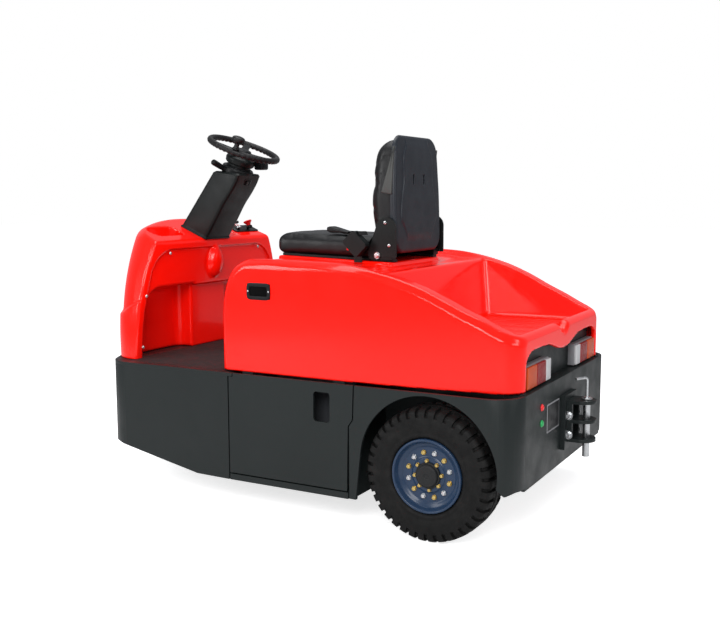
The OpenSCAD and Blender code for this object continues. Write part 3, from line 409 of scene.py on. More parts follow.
def repeated(surface, places):
    # The same surface, made round the origin, at each place
    verts, faces = surface
    places = np.asarray(places, float).reshape(-1, 3)
    every = (places[:, None] + verts[None]).reshape(-1, 3)
    return every, (faces[None] + np.arange(len(places))[:, None, None] * len(verts)).reshape(-1, 4)


def hexHeads(places, axis, across, high, washer=0.0):
    # Hexagon heads with sunk tops on round washers: rings round the axis, the hexagon's
    # radius grown towards its corners
    turn = np.arange(24) * math.pi / 12
    corner = 1 / np.cos((turn + math.pi / 6) % (math.pi / 3) - math.pi / 6)
    washerRings = [(0, washer, 0), (0.22 * high, washer, 0)] if washer else []
    rings = [
        np.stack([np.full(24, a), *(r * (corner if hexagon else 1) * f(turn) for f in (np.cos, np.sin))], 1)
        for a, r, hexagon in washerRings + [
            (0.2 * high, 0.5 * across, 1), (0.85 * high, 0.5 * across, 1), (high, 0.42 * across, 0),
            (high, 0.26 * across, 0), (0.85 * high, 0.22 * across, 0),
        ]
    ]
    verts, faces = lofted(rings)
    along, side, other = axesOf(axis)
    return repeated((verts[:, :1] * along + verts[:, 1:2] * side + verts[:, 2:] * other, faces), places)


def screws(places, axis, radius):
    # Round heads with a small sunk middle
    profile = [(0, radius), (0.25 * radius, radius), (0.55 * radius, 0.75 * radius), (0.65 * radius, 0.35 * radius)]
    profile += [(0.4 * radius, 0.3 * radius), (0.4 * radius, 0)]
    return repeated(turned([(0, 0)] + profile, (0, 0, 0), axis, 16), places)


def softEdges(piece, width=0.0015, angle=30, segments=2, merge=0.00002):
    # Merged points, small round edges and shading that breaks only at sharp ones
    if merge:
        weld = piece.modifiers.new("weld", "WELD")
        weld.merge_threshold = merge
    bevel = piece.modifiers.new("bevel", "BEVEL")
    bevel.width = width
    bevel.segments = segments
    bevel.limit_method = "ANGLE"
    bevel.angle_limit = math.radians(angle)
    bevel.harden_normals = True
    return piece


def curveOf(x, xs, ys):
    # Smooth curve through the points (xs, ys): a cubic on each span, with slopes from its neighbours
    xs, ys = np.asarray(xs, float), np.asarray(ys, float)
    rise = np.diff(ys) / np.diff(xs)
    slope = np.concatenate([[rise[0]], (rise[1:] + rise[:-1]) / 2, [rise[-1]]])
    slope[1:-1] = np.where(rise[1:] * rise[:-1] <= 0, 0, slope[1:-1])
    x = np.clip(x, xs[0], xs[-1])
    i = np.clip(np.searchsorted(xs, x, side="right") - 1, 0, len(xs) - 2)
    h = xs[i + 1] - xs[i]
    t = (x - xs[i]) / h
    return (
        (2 * t**3 - 3 * t**2 + 1) * ys[i] + (t**3 - 2 * t**2 + t) * h * slope[i]
        + (3 * t**2 - 2 * t**3) * ys[i + 1] + (t**3 - t**2) * h * slope[i + 1]
    )


def ease(t):
    # 0 below 0, 1 above 1 and a smooth step between
    t = np.clip(t, 0, 1)
    return t * t * (3 - 2 * t)


# Each shape below is a field: below 0 inside, in metres near its surface.
def common(a, b, r):
    # Inside both a and b, with their edge rounded to radius r
    return np.minimum(-r, np.maximum(a, b)) + np.hypot(np.maximum(a + r, 0), np.maximum(b + r, 0))


def merged(a, b, r):
    # Inside a or b, with the corner between them filled to radius r
    return -common(-a, -b, r)


def without(a, b, r):
    # Inside a and outside b, with the new edge rounded to radius r
    return common(a, -b, r)


def skin(field, low, high, cell):
    # Surface where field is 0: one point in each grid cell that it crosses, moved onto it
    # along the field's slope, and one quad round each grid edge that changes side
    axes = [np.arange(a - 2 * cell, b + 3 * cell, cell) for a, b in zip(low, high)]
    inside = field(*np.meshgrid(*axes, indexing="ij")) < 0
    count = sum(
        inside[i:inside.shape[0] - 1 + i, j:inside.shape[1] - 1 + j, k:inside.shape[2] - 1 + k].astype(np.int8)
        for i in (0, 1) for j in (0, 1) for k in (0, 1)
    )
    mixed = (count > 0) & (count < 8)
    index = np.full(mixed.shape, -1, np.int64)
    index[mixed] = np.arange(mixed.sum())
    centre = np.stack([axes[a][n] + cell / 2 for a, n in enumerate(np.nonzero(mixed))], 1)
    step = 0.0004

    def slopeOf(at):
        steps = [field(*(at + step * way).T) - field(*(at - step * way).T) for way in np.eye(3)]
        return np.stack(steps, 1) / (2 * step)

    point = centre.copy()
    for _ in range(6):
        value, slope = field(*point.T), slopeOf(point)
        point -= slope * (value / np.maximum((slope**2).sum(1), 0.04))[:, None]
        point = np.clip(point, centre - 0.8 * cell, centre + 0.8 * cell)
    faces = []
    for a in range(3):
        order = (a, (a + 1) % 3, (a + 2) % 3)
        side, cells = np.transpose(inside, order), np.transpose(index, order)
        near, far = side[:-1, 1:-1, 1:-1], side[1:, 1:-1, 1:-1]
        u, v, w = np.nonzero(near != far)
        out = near[u, v, w]
        quad = np.stack([cells[u, v, w], cells[u, v + 1, w], cells[u, v + 1, w + 1], cells[u, v, w + 1]], 1)
        faces.append(np.where(out[:, None], quad, quad[:, ::-1]))
    normal = slopeOf(point)
    return point, np.concatenate(faces), normal / np.maximum(np.linalg.norm(normal, axis=1), 1e-9)[:, None]


cover = {
    "back": 0.012, "front": 1.134, "low": 0.506, "rise": 0.417, "wall": 0.018, "trayWall": 0.013,
    "crest": 0.012, "ledge": 0.017, "step": 0.012, "cell": 0.0077, "ribPitch": 0.05, "ribHigh": 0.005,
    "riserHalf": 0.215, "riserBack": 0.595, "riserFront": 1.086, "lampHalf": 0.406,
    "notchUp": 0.204, "notchRadius": 0.052,
}
crestD = [0.0, 0.02, 0.057, 0.094, 0.149, 0.206, 0.325, 0.41, 0.5, 0.626, 0.78, 0.937, 1.001, 1.06, 1.134]
crestH = [
    -0.246, -0.236, -0.222, -0.206, -0.178, -0.153, -0.096, -0.064, -0.04, -0.017, -0.006, 0.0, -0.004, -0.012,
    -0.03,
]


def crestLine(d):
    # Height of the cover's top edge at a station
    return deckZ + cover["rise"] + curveOf(d, crestD, crestH)


def coverBlock(x, d, z, inset=0.0, ledged=True):
    # Outside of the rear cover: top under the crest line, sides that swell forward, a full
    # rounded front, the tail corners on a larger radius, the seat platform dished in and a
    # small ledge round the sides below the crest
    w = curveOf(d, [0.0, 0.3, 0.62, 1.134], [0.473, 0.5, 0.52, 0.52])
    dish = curveOf(d, [0.43, 0.5, 0.6, 1.0, 1.06, 1.09], [0, 0.008, 0.022, 0.02, 0.008, 0.0])
    dish = dish * ease((w - np.abs(x) - 0.04) / 0.055)
    top = (z - crestLine(d) + dish) * 0.97
    u = np.maximum((d - 1.001) / (cover["front"] - 1.001), 0)
    v = np.maximum((z - deckZ - 0.177) / 0.232, 0)
    bow = (u**2.3 + v**2.3 + 1e-9) ** (1 / 2.3)
    front = (bow - 1) * (0.133 + 0.099 * (v / np.maximum(bow, 1e-6)) ** 2.3)
    above = ease((z - crestLine(d) + cover["ledge"] + 0.011) / 0.022) if ledged else 1.0
    side = np.abs(x) - w + cover["step"] * above
    block = common(common(side, cover["back"] - d, 0.07), front, 0.035)
    return common(block, top, cover["crest"]) + inset


def trayHollow(x, d, z):
    # Load tray: slanted front and rear walls, a ribbed floor and rounded corners
    ridge = np.clip(np.cos(x * 2 * math.pi / cover["ribPitch"]), 0, 1) ** 2
    ridge = ridge * ease((0.36 - np.abs(x)) / 0.02) * ease((d - 0.1) / 0.03) * ease((0.45 - d) / 0.03)
    up = z - deckZ - 0.147
    floor = cover["ribHigh"] * ridge - up
    frontWall = (d - 0.464 - up * 0.155) * 0.98
    rearWall = (0.063 - d - np.minimum(up, 0.045) * 0.5) * 0.9
    half = 0.398 + 0.19 * up
    plan = common(np.abs(x) - half, common(frontWall, rearWall, 0.018), 0.018)
    return common(plan, floor, 0.012)


def lampCut(x, d, z):
    # Cut-out over the lamps, shallower over the tongue in the middle
    a = np.abs(x)
    rise = curveOf(
        a, [0, 0.05, 0.1, 0.15, 0.165, 0.2, 0.3, 0.37, 0.41],
        [0.09, 0.094, 0.106, 0.119, 0.122, 0.124, 0.126, 0.118, 0.092],
    )
    return common(common(z - cover["low"] - rise, a - cover["lampHalf"], 0.012), d - 0.04, 0.004)


def rimNotch(x, d, z):
    # Round notch in the tray's rear rim over the coupling
    return common(np.hypot(x, z - deckZ - cover["notchUp"]) - cover["notchRadius"], d - 0.1, 0.01)


def coverField(x, y, z):
    # The block and the seat riser, less the tray, the notch, the hollow below and the lamp cut-out
    d = tailY - y
    riser = common(
        common(np.abs(x) - cover["riserHalf"], common(cover["riserBack"] - d, d - cover["riserFront"], 0.02), 0.02),
        common(z - (deckZ + cover["rise"] - 0.028 + 0.03 * (d - 0.577)), deckZ + 0.3 - z, 0.01), 0.008,
    )
    tray, notch = trayHollow(x, d, z), rimNotch(x, d, z)
    shape = merged(coverBlock(x, d, z), riser, 0.008)
    shape = without(without(shape, tray, 0.009), notch, 0.014)
    shape = common(shape, cover["low"] - z, 0.002)
    inner = coverBlock(x, d, z, cover["wall"], False)
    hollow = without(inner, np.minimum(tray, notch) - cover["trayWall"], 0.01)
    return without(without(shape, hollow, 0.001), lampCut(x, d, z), 0.003)


addSkin(
    "rearCoverSkin", coverField, (-0.52, station(cover["front"]), 0.5), (0.52, station(cover["back"]), 0.925),
    cover["cell"], "rear_cover", "red", ["rear_cover"],
)

cowl = {
    "rear": 1.562, "half": 0.488, "rise": 0.452, "corner": 0.08, "bow": 0.08, "slope": 0.42, "cell": 0.0068,
    "lip": 0.04, "sunk": 0.013, "boxHalf": 0.12, "wellTop": 0.27, "wellEnd": 1.656, "lampX": 0.262, "lampUp": 0.3,
    "bulgeD": 1.558, "bulgeZ": 0.862, "cupX": 0.23, "cupD": 1.622,
}


def cowlFace(x, h):
    # Station of the bowed front face: a circle through the two corners, stepped out below the crease
    t = np.maximum(h, 0) / cowl["rise"]
    corner = cowl["corner"] * (1 - 0.25 * t)
    a = cowlHalf(h) - corner
    bow = cowl["bow"]
    radius = (a * a + bow**2 + 2 * bow * corner) / (2 * bow)
    nose = 1.677 + curveOf(h, [0, 0.165, 0.192, 0.4], [0.018, 0.02, 0.008, 0.008])
    return nose + bow - radius, radius


def cowlHalf(h):
    # Half width at a height over the deck, drawn in towards the top
    return cowl["half"] * (1 - 0.1885 * (np.maximum(h, 0) / cowl["rise"]) ** 2.6)


def cowlField(x, y, z):
    # Bowed front, leaning rear face and sloped top, less the sunk knee panel, the foot wells,
    # the cup recess and the lamp sockets, with the bulge over the column's joint
    d, h, a = tailY - y, z - deckZ, np.abs(x)
    centre, radius = cowlFace(x, h)
    crease = 0.673 + np.maximum(1.664 - d, 0) * 0.495
    w = cowlHalf(h) - 0.007 * ease((z - crease + 0.004) / 0.012)
    plan = common(np.hypot(x, d - centre) - radius, a - w, 0.07)
    rear = cowl["rear"] - 0.062 * h
    block = common(plan, rear - d, 0.011)
    top = (h - cowl["rise"] - cowl["slope"] * (d - 1.534)) * 0.922
    block = common(block, top, 0.012 + 0.036 * ease((d - 1.6) / 0.08))
    block = common(block, -h, 0.002)
    panel = common(a - (cowlHalf(h) - cowl["lip"]), h - 0.418, 0.085)
    block = without(block, common(panel, d - rear - cowl["sunk"], 0.005), 0.005)
    box = common(a - cowl["boxHalf"], h - cowl["wellTop"] + 0.006, 0.004)
    block = without(block, common(box, d - 1.587, 0.006), 0.006)
    width = 0.044 - 0.16 * np.clip(z - 0.86, -0.05, 0.08)
    across, up = (d - cowl["bulgeD"]) / 0.044, (z - cowl["bulgeZ"]) / 0.072
    bulge = np.sqrt((x / width) ** 2 + across**2 + up**2 + 1e-9)
    block = merged(block, (bulge - 1) * 0.04, 0.008)
    well = common(common(a - (cowlHalf(h) - 0.04), h - cowl["wellTop"], 0.09), cowl["boxHalf"] - a, 0.012)
    well = common(well, d - cowl["wellEnd"], 0.035)
    block = without(block, well, 0.012)
    cup = np.hypot(np.maximum(np.abs(x - cowl["cupX"]) - 0.052, 0), d - cowl["cupD"]) - 0.039
    block = without(block, common(cup, -top - 0.045, 0.012), 0.006)
    lampFace, lampRadius = cowlFace(cowl["lampX"], cowl["lampUp"])
    face = lampFace + math.sqrt(lampRadius**2 - cowl["lampX"] ** 2)
    socket = common(np.hypot(a - cowl["lampX"], h - cowl["lampUp"]) - 0.0555, face - 0.045 - d, 0.003)
    return without(block, socket, 0.004)


addSkin(
    "frontCowlSkin", cowlField, (-cowl["half"], station(1.785), deckZ), (cowl["half"], station(1.505), 1.028),
    cowl["cell"], "chassis", "red", ["front_cowl"],
)

headLamp = {"radius": 0.0545, "deep": 0.037, "sunk": 0.008}


def addHeadLamps():
    # Bezel ring, a bowl behind it and a domed lens, turned round each lamp's axis
    centre, radius = cowlFace(cowl["lampX"], cowl["lampUp"])
    face = station(float(centre) + math.sqrt(float(radius) ** 2 - cowl["lampX"] ** 2))
    r, back = headLamp["radius"], -headLamp["deep"]
    bezel = [(back, r * 0.9), (back, r), (0, r), (0.004, r * 0.93), (0.001, r * 0.84), (-0.006, r * 0.84)]
    bezel = rounded(bezel, 0.002)
    lens = [(-0.005, r * 0.86), (0.0, r * 0.8), (0.003, r * 0.6), (0.0055, r * 0.3), (0.006, 0.0)]
    bowl = [(-0.006, r * 0.85), (-0.016, r * 0.7), (-0.026, r * 0.4), (-0.03, 0.0)]
    lamps = Gathered()
    for side in (-1, 1):
        place = (side * cowl["lampX"], face + headLamp["sunk"], deckZ + cowl["lampUp"])
        lamps.add(turned(bezel, place, (0, -1, 0), 64, True), "zinc")
        lamps.add(turned(lens, place, (0, -1, 0)), "clearLens")
        lamps.add(turned(bowl, place, (0, -1, 0)), "zinc")
    return lamps.piece("headLamps", "chassis", "clear_lens", ["head_lamps"])


addHeadLamps()

rearTyre = {
    "diameter": 0.45, "width": 0.158, "bore": 0.1243, "lugs": 38, "deep": 0.0095, "centreX": 0.466, "axle": 0.3,
    "grooves": (-0.018, 0.018),
}
frontTyre = {
    "diameter": 0.38, "width": 0.115, "bore": 0.1033, "lugs": 0, "centreX": 0.0, "axle": 1.51,
    "grooves": (-0.024, 0.0, 0.024),
}
tyreRing = 92  # points round a tyre's section


def addTyre(name, body, size, side, replaces):
    # Closed section turned round the axle, pressed in by grooves: across the shoulders for
    # lugs, and round the tread
    r, h, b = size["diameter"] / 2, size["width"] / 2, size["bore"]
    x, count = side * size["centreX"], size["lugs"] or 24
    half = [
        (h - 0.01, b), (h, b + 0.012), (h - 0.004, b + 0.02), (h, b + 0.03), (h, b + 0.55 * (r - b)),
        (h - 0.003, r - 0.016), (h - 0.013, r - 0.004), (h - 0.045, r),
    ]
    points = np.array([(-a, q) for a, q in half] + [(a, q) for a, q in half[::-1]])
    curve = rounded(points, 0.008, 5)
    length = np.concatenate([[0], np.cumsum(np.linalg.norm(np.diff(curve, axis=0), axis=1))])
    at = np.linspace(0, length[-1], tyreRing)
    a, q = np.interp(at, length, curve[:, 0]), np.interp(at, length, curve[:, 1])
    q = q + 0.0009 * np.exp(-(((q - b - 0.03) / 0.002) ** 2))
    a = a + np.sign(a) * 0.0008 * (np.exp(-(((q - b - 0.04) / 0.0015) ** 2)) - 1) * (q < r - 0.02)
    pitch = 2 * math.pi / count
    steps = np.array([0, 0.08, 0.15, 0.19, 0.25, 0.31, 0.35, 0.42, 0.5, 0.58, 0.65, 0.69, 0.75, 0.81, 0.85, 0.92])
    angle = ((np.arange(count)[:, None] + steps) * pitch).ravel()
    a2, q2 = (np.broadcast_to(line[:, None], (tyreRing, len(angle))) for line in (a, q))
    press = np.zeros(a2.shape)
    if size["lugs"]:
        phase = (angle / pitch + np.where(a2 > 0, 0.0, 0.5)) % 1
        notch = 1 - ease((np.abs(phase - 0.5) - 0.15) / 0.04)
        across = ease((np.abs(a2) - 0.022) / 0.008) * ease((q2 - r + 0.034) / 0.014)
        press = size["deep"] * notch * across
    for place in size["grooves"]:
        ring = (1 - ease((np.abs(a2 - place) - 0.003) / 0.003)) * ease((q2 - r + 0.006) / 0.004)
        press = np.maximum(press, 0.007 * ring)
    inner = np.stack([-a2, r - 0.07 - q2], -1)
    inner /= np.linalg.norm(inner, axis=-1, keepdims=True)
    a2, q2 = a2 + inner[..., 0] * press, q2 + inner[..., 1] * press
    verts = np.stack([x + a2, station(size["axle"]) + q2 * np.cos(angle), r + q2 * np.sin(angle)], -1)
    tyre = Gathered().add((verts, gridFaces(tyreRing, len(angle), True, True)), "tyre")
    return tyre.piece(name, body, "tyre", [replaces], 32)


for side, word in ((1, "left"), (-1, "right")):
    addTyre("rearTyre_" + word, "rear_wheel_" + word, rearTyre, side, "rear_tyre_" + word)
addTyre("frontTyreRibbed", "front_wheel", frontTyre, 1, "front_tyre")
print("tyres done")

rim = {
    "radius": 0.124, "outerBolts": 12, "outerRing": 0.0755, "innerBolts": 8, "innerRing": 0.0485,
    "head": 0.0135, "outerFace": 0.0485, "innerFace": 0.0545,
}


def circleOf(count, radius, start=0.0):
    # Points (y, z) evenly round a circle
    t = start + np.arange(count) * 2 * math.pi / count
    return np.stack([radius * np.cos(t), radius * np.sin(t)], 1)


def addRearRim(side, word):
    # Turned wheel with a rolled flange, a slanted barrel and a sunk disc, two rings of bolts
    # and a domed hub cap
    place = (side * rearTyre["centreX"], station(rearTyre["axle"]), rearTyre["diameter"] / 2)
    axis = (side, 0, 0)
    r = rim["radius"]
    wheel = rounded([
        (-0.067, r - 0.006), (-0.067, r), (0.067, r), (0.072, r + 0.0002), (0.0768, r - 0.002), (0.0768, r - 0.008),
        (0.070, r - 0.011), (0.058, r - 0.016), (0.053, r - 0.026), (0.0485, r - 0.032), (0.0485, 0.064),
        (0.052, 0.058),
        (0.0545, 0.056), (0.0545, 0.0225), (0.040, 0.0225), (0.040, 0.062), (0.038, 0.09), (0.030, r - 0.014),
        (-0.05, r - 0.010),
    ], 0.004, 4)
    hub = [(0.045, 0.0), (0.045, 0.044), (0.0605, 0.044), (0.0625, 0.042), (0.0625, 0.0385), (0.070, 0.0375)]
    hub += [(0.0735, 0.034), (0.0745, 0.02), (0.0745, 0.009), (0.0725, 0.008), (0.0725, 0.0)]
    wheelParts = Gathered().add(turned(wheel, place, axis, 96, True), "rim")
    wheelParts.add(softTurned(hub, 0.0015, place, axis), "cast")
    outer = circleOf(rim["outerBolts"], rim["outerRing"], 0.26)
    inner = circleOf(rim["innerBolts"], rim["innerRing"], 0.1)
    for points, level, look, size in (
        (outer[::2], rim["outerFace"], "zinc", 1.0), (outer[1::2], rim["outerFace"], "gold", 1.0),
        (inner, rim["innerFace"], "gold", 0.8),
    ):
        at = np.column_stack([np.full(len(points), place[0] + side * level), points + place[1:]])
        wheelParts.add(hexHeads(at, axis, rim["head"] * size, 0.009, rim["head"] * 0.62 * size), look)
    return wheelParts.piece("rearRim_" + word, "rear_wheel_" + word, "rim_paint", ["rear_rim_" + word])


addRearRim(1, "left")
addRearRim(-1, "right")

shell = {
    "foot": 0.921, "high": 1.3504, "front": 0.61, "cell": 0.0042, "step": 0.0045, "slotX": 0.044, "slotZ": 1.19,
}


def shellField(x, y, z):
    # Backrest shell: leaning back face, narrower at the top, rounded all round, with a raised
    # middle panel that fades out at both ends and two slots
    d, a = tailY - y, np.abs(x)
    half = curveOf(z, [0.921, 1.0, 1.12, 1.25, 1.35], [0.186, 0.193, 0.195, 0.185, 0.174])
    line = curveOf(
        z, [0.96, 1.008, 1.053, 1.102, 1.185, 1.278, 1.314], [0.1, 0.122, 0.152, 0.146, 0.123, 0.12, 0.096]
    )
    panel = ease((line - a) / 0.009 + 0.5) * ease((z - 0.96) / 0.04) * ease((1.345 - z) / 0.04)
    rear = curveOf(z, [0.98, 1.1, 1.19, 1.29, 1.35], [0.5775, 0.582, 0.585, 0.588, 0.594])
    rear = rear + shell["step"] * (1 - panel)
    body = common(common(a - half, common(z - shell["high"], shell["foot"] - z, 0.04), 0.05), rear - d, 0.012)
    body = common(body, d - shell["front"], 0.003)
    slot = common(np.abs(a - shell["slotX"]) - 0.0065, np.abs(z - shell["slotZ"]) - 0.02, 0.006)
    slot = common(slot, d - rear - 0.009, 0.002)
    return without(body, slot, 0.002)


addSkin(
    "seatShellSkin", shellField, (-0.197, station(0.612), 0.92), (0.197, station(0.576), 1.352),
    shell["cell"], "rear_cover", "shell", ["seat_shell"],
)
print("shell done")

padding = {
    "cell": 0.006, "pressure": 4.0, "cap": 0.010, "reach": 0.008, "margin": 0.02, "frames": 20, "rest": 0.008,
}


def cushionField(x, y, z):
    # Cushion before it is blown up: a block that rises to the front, crowned across, with a
    # round front edge
    d, a = tailY - y, np.abs(x)
    floor = 0.906 + 0.0235 * (d - 0.606)
    top = floor + 0.062 + 0.006 * (1 - (x / 0.21) ** 2) + 0.004 * ease((0.75 - d) / 0.15)
    plan = common(a - 0.209, common(d - 1.099, 0.6 - d, 0.02), 0.03)
    return common(common(plan, z - top, 0.026), floor - z, 0.02)


def backPadField(x, y, z):
    # Backrest pad before it is blown up: deepest at two thirds of its height, narrower above
    d, a = tailY - y, np.abs(x)
    front = curveOf(
        z, [0.94, 0.966, 1.037, 1.117, 1.178, 1.235, 1.293, 1.345],
        [0.664, 0.674, 0.688, 0.694, 0.69, 0.685, 0.676, 0.656],
    )
    half = curveOf(z, [0.94, 1.0, 1.12, 1.25, 1.35], [0.184, 0.188, 0.19, 0.183, 0.172])
    plan = common(a - half, common(z - 1.341, 0.944 - z, 0.03), 0.05)
    return common(common(plan, d - front - 0.01 * (1 - (x / 0.19) ** 2) + 0.006, 0.032), 0.606 - d, 0.003)


def addPad(name, node, field):
    # A full form in the CAD pad's box on an even grid, blown up as cloth, no point moving past
    # the cap, then kept inside that box
    source = nodes[node]
    low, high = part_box(node)
    mesh = bpy.data.meshes.new(name)
    low, high = np.array(low), np.array(high)
    verts, quads, _ = skin(field, low - padding["margin"], high + padding["margin"], padding["cell"])
    mesh.from_pydata(verts.tolist(), [], quads.tolist())
    mesh.materials.append(looks["vinyl"])
    pad = finished(name, mesh, source.get("body", "rear_cover"), [node])
    smooth = pad.modifiers.new("smooth", "SMOOTH")
    smooth.iterations = 3
    bake(pad)
    before = pointsOf(pad.data)
    cloth = pad.modifiers.new("cloth", "CLOTH")
    cloth.settings.use_pressure = True
    cloth.settings.uniform_pressure_force = padding["pressure"]
    cloth.settings.effector_weights.gravity = 0
    for frameNumber in range(1, padding["frames"] + 1):
        bpy.context.scene.frame_set(frameNumber)
    bake(pad)
    bpy.context.scene.frame_set(1)
    move = pointsOf(pad.data) - before
    reach = np.linalg.norm(move, axis=1, keepdims=True)
    after = before + move * np.minimum(1, padding["cap"] / np.maximum(reach, 1e-9))
    resting = before[:, 2] < low[2] + padding["rest"]
    after[:, 2] = np.where(resting, np.minimum(after[:, 2], before[:, 2]), after[:, 2])
    after = np.clip(after, low - padding["reach"], high + padding["reach"])
    pad.data.vertices.foreach_set("co", after.astype(np.float32).ravel())
    pad.data.update()
    finer = pad.modifiers.new("finer", "SUBSURF")
    finer.levels = finer.render_levels = 1
    pad.data.polygons.foreach_set("use_smooth", np.full(len(pad.data.polygons), True))
    return pad


def pointsOf(mesh):
    points = np.empty(len(mesh.vertices) * 3, np.float32)
    mesh.vertices.foreach_get("co", points)
    return points.reshape(-1, 3).astype(float)


def bake(piece):
    # Turns the modifiers' result into the piece's own mesh
    made = bpy.data.meshes.new_from_object(piece.evaluated_get(bpy.context.evaluated_depsgraph_get()))
    old = piece.data
    piece.modifiers.clear()
    piece.data = made
    bpy.data.meshes.remove(old)


addPad("seatCushionPad", "seat_cushion", cushionField)
addPad("backrestPad", "seat_back", backPadField)
print("pads done")


# Small parts: each is placed by its station d, its height and its distance from the middle
def point(x, d, z):
    return (x, station(d), z)


leftward = (-1, 0, 0)  # with upright it spans a face that looks to the tail
tailLamp = {
    "ends": [(0.391, 0.297, "amber"), (0.295, 0.204, "redLens"), (0.202, 0.152, "clearLens")],
    "low": 0.506, "high": 0.583, "back": 0.0455, "lens": 0.0225, "face": 0.0122,
}


def addTailLamps():
    # Housing with a pale rim and three lens blocks a side
    lamps = Gathered()
    low, high = tailLamp["low"], tailLamp["high"]
    for side in (1, -1):
        middle = point(side * 0.2695, tailLamp["back"], (low + high) / 2)
        housing = plate(0.2425, high - low + 0.003, 0.006)
        deep = tailLamp["back"] - tailLamp["lens"]
        lamps.add(slab(housing, deep, 0.0015, middle, leftward, upright), "lampRim")
        for outer, inner, look in tailLamp["ends"]:
            lensAt = point(side * (outer + inner) / 2, tailLamp["lens"], (low + high) / 2)
            lens = plate(outer - inner, high - low - 0.004, 0.005)
            lamps.add(slab(lens, tailLamp["lens"] - tailLamp["face"], 0.003, lensAt, leftward, upright), look)
    return lamps.piece("tailLampLenses", "chassis", "amber_lens", ["tail_lamps"])


pull = {"width": 0.102, "height": 0.06, "pocketWidth": 0.072, "pocketHeight": 0.034, "d": 0.9608, "z": 0.7971}


def addPullHandles():
    # Base plate in near-black as painted shade for the pocket's depth, a raised frame round the pocket and two
    # screws
    pulls = Gathered()
    ring = rounded([(-0.0065, -0.002), (-0.0065, 0.0019), (0.0065, 0.0019), (0.0065, -0.002)], 0.0012, 3)
    middleWidth = (pull["width"] + pull["pocketWidth"]) / 2
    middleHeight = (pull["height"] + pull["pocketHeight"]) / 2
    for side in (1, -1):
        place, right = np.array(point(side * 0.5203, pull["d"], pull["z"])), np.array([0, side, 0.0])
        base = plate(pull["width"] - 0.004, pull["height"] - 0.004, 0.006)
        # flat near-black plate: painted shade inside the pocket
        pulls.add(slab(base, 0.0012, 0.0004, place, right, upright), "recessShade")
        path = plate(middleWidth, middleHeight, 0.012)
        track = place + (side * 0.0021, 0, 0) + path[:, :1] * right + path[:, 1:] * np.array([0, 0, 1.0])
        section = ring if side > 0 else ring * (1, -1)
        pulls.add(swept(track, section[:, ::-1], (side, 0, 0), True), "switch")
        ends = [place + (side * 0.0036, way * 0.0435, 0) for way in (-1, 1)]
        pulls.add(screws(ends, (side, 0, 0), 0.0034), "zinc")
    return pulls.piece("pullPockets", "rear_cover", "dark_plastic", ["pull_handles"])


wheelHub = {
    "d": 1.387, "z": 1.323, "lean": math.radians(21.5), "ring": 0.142, "rim": 0.0128, "grips": 44,
    "around": 264, "across": 20, "knobTurn": math.radians(22), "knobUp": 0.0133,
}
column = {
    "low": 0.953, "high": 1.2205, "lowSlope": 0.0533, "topSlope": 0.0155, "corner": 0.014, "skirt": 0.0035,
    "width": 0.168, "taper": 0.009, "front": 1.6595, "lean": 0.173,
}
columnRearZ = [0.953, 0.987, 1.032, 1.099, 1.145, 1.185, 1.221]
columnRearD = [1.532, 1.509, 1.479, 1.4365, 1.4, 1.373, 1.356]


def onShaft(surface):
    # Carries a surface from the origin, z along the shaft, to the steering wheel's middle
    verts, faces = surface
    c, t = math.cos(wheelHub["lean"]), math.sin(wheelHub["lean"])
    y, z = verts[:, 1] * c + verts[:, 2] * t, verts[:, 2] * c - verts[:, 1] * t
    return np.stack([verts[:, 0], y, z], 1) + point(0, wheelHub["d"], wheelHub["z"]), faces


def spoke(angle):
    # Pressed spoke from under the hub up to the rim, wider at both ends
    way, across = np.array([math.cos(angle), math.sin(angle), 0]), np.array([-math.sin(angle), math.cos(angle), 0])
    t = np.linspace(0, 1, 14)
    reach = 0.018 + t * (wheelHub["ring"] - 0.022)
    half = 0.0125 + 0.007 * (1 - t) ** 2 + 0.005 * t**3
    level = -0.012 + 0.0105 * ease(t * 1.15)
    section = plate(2, 1, 0.35)
    rings = way * reach[:, None, None] + across * (half[:, None] * section[:, 0])[..., None]
    return lofted(rings + np.array([0, 0, 1.0]) * (level[:, None] + 0.009 * section[:, 1])[..., None])


def addSteeringWheel():
    # Ring with finger grips below, three spokes, a hub with a domed cap and the shaft
    parts = Gathered()
    angle = np.arange(wheelHub["around"]) * 2 * math.pi / wheelHub["around"]
    around = np.arange(wheelHub["across"]) * 2 * math.pi / wheelHub["across"]
    grip = 1 - 0.1 * (1 - np.sin(around)[None]) / 2 * (1 + np.cos(wheelHub["grips"] * angle)[:, None])
    out = wheelHub["ring"] + wheelHub["rim"] * np.cos(around)[None] * grip
    up = wheelHub["rim"] * np.sin(around)[None] * grip
    ring = np.stack([out * np.cos(angle)[:, None], out * np.sin(angle)[:, None], up], -1).reshape(-1, 3)
    parts.add(onShaft((ring, gridFaces(len(angle), len(around), True, True))), "grip")
    for turn in (90, 210, 330):
        parts.add(onShaft(spoke(math.radians(turn))), "switch")
    hub = [(-0.022, 0.0), (-0.022, 0.03), (-0.014, 0.034), (-0.006, 0.034), (-0.002, 0.0305), (-0.002, 0.0275)]
    hub += [(-0.0035, 0.0265), (-0.001, 0.024), (0.0, 0.012), (0.0, 0.0)]
    parts.add(onShaft(softTurned(hub, 0.0012, origin, upright)), "switch")
    shaft = [(-0.058, 0.0), (-0.058, 0.012), (-0.02, 0.012), (-0.02, 0.0)]
    parts.add(onShaft(turned(shaft, origin, upright, 32)), "zinc")
    return parts.piece("steeringWheelRing", "steering_wheel", "grip", ["steering_wheel"], 40)


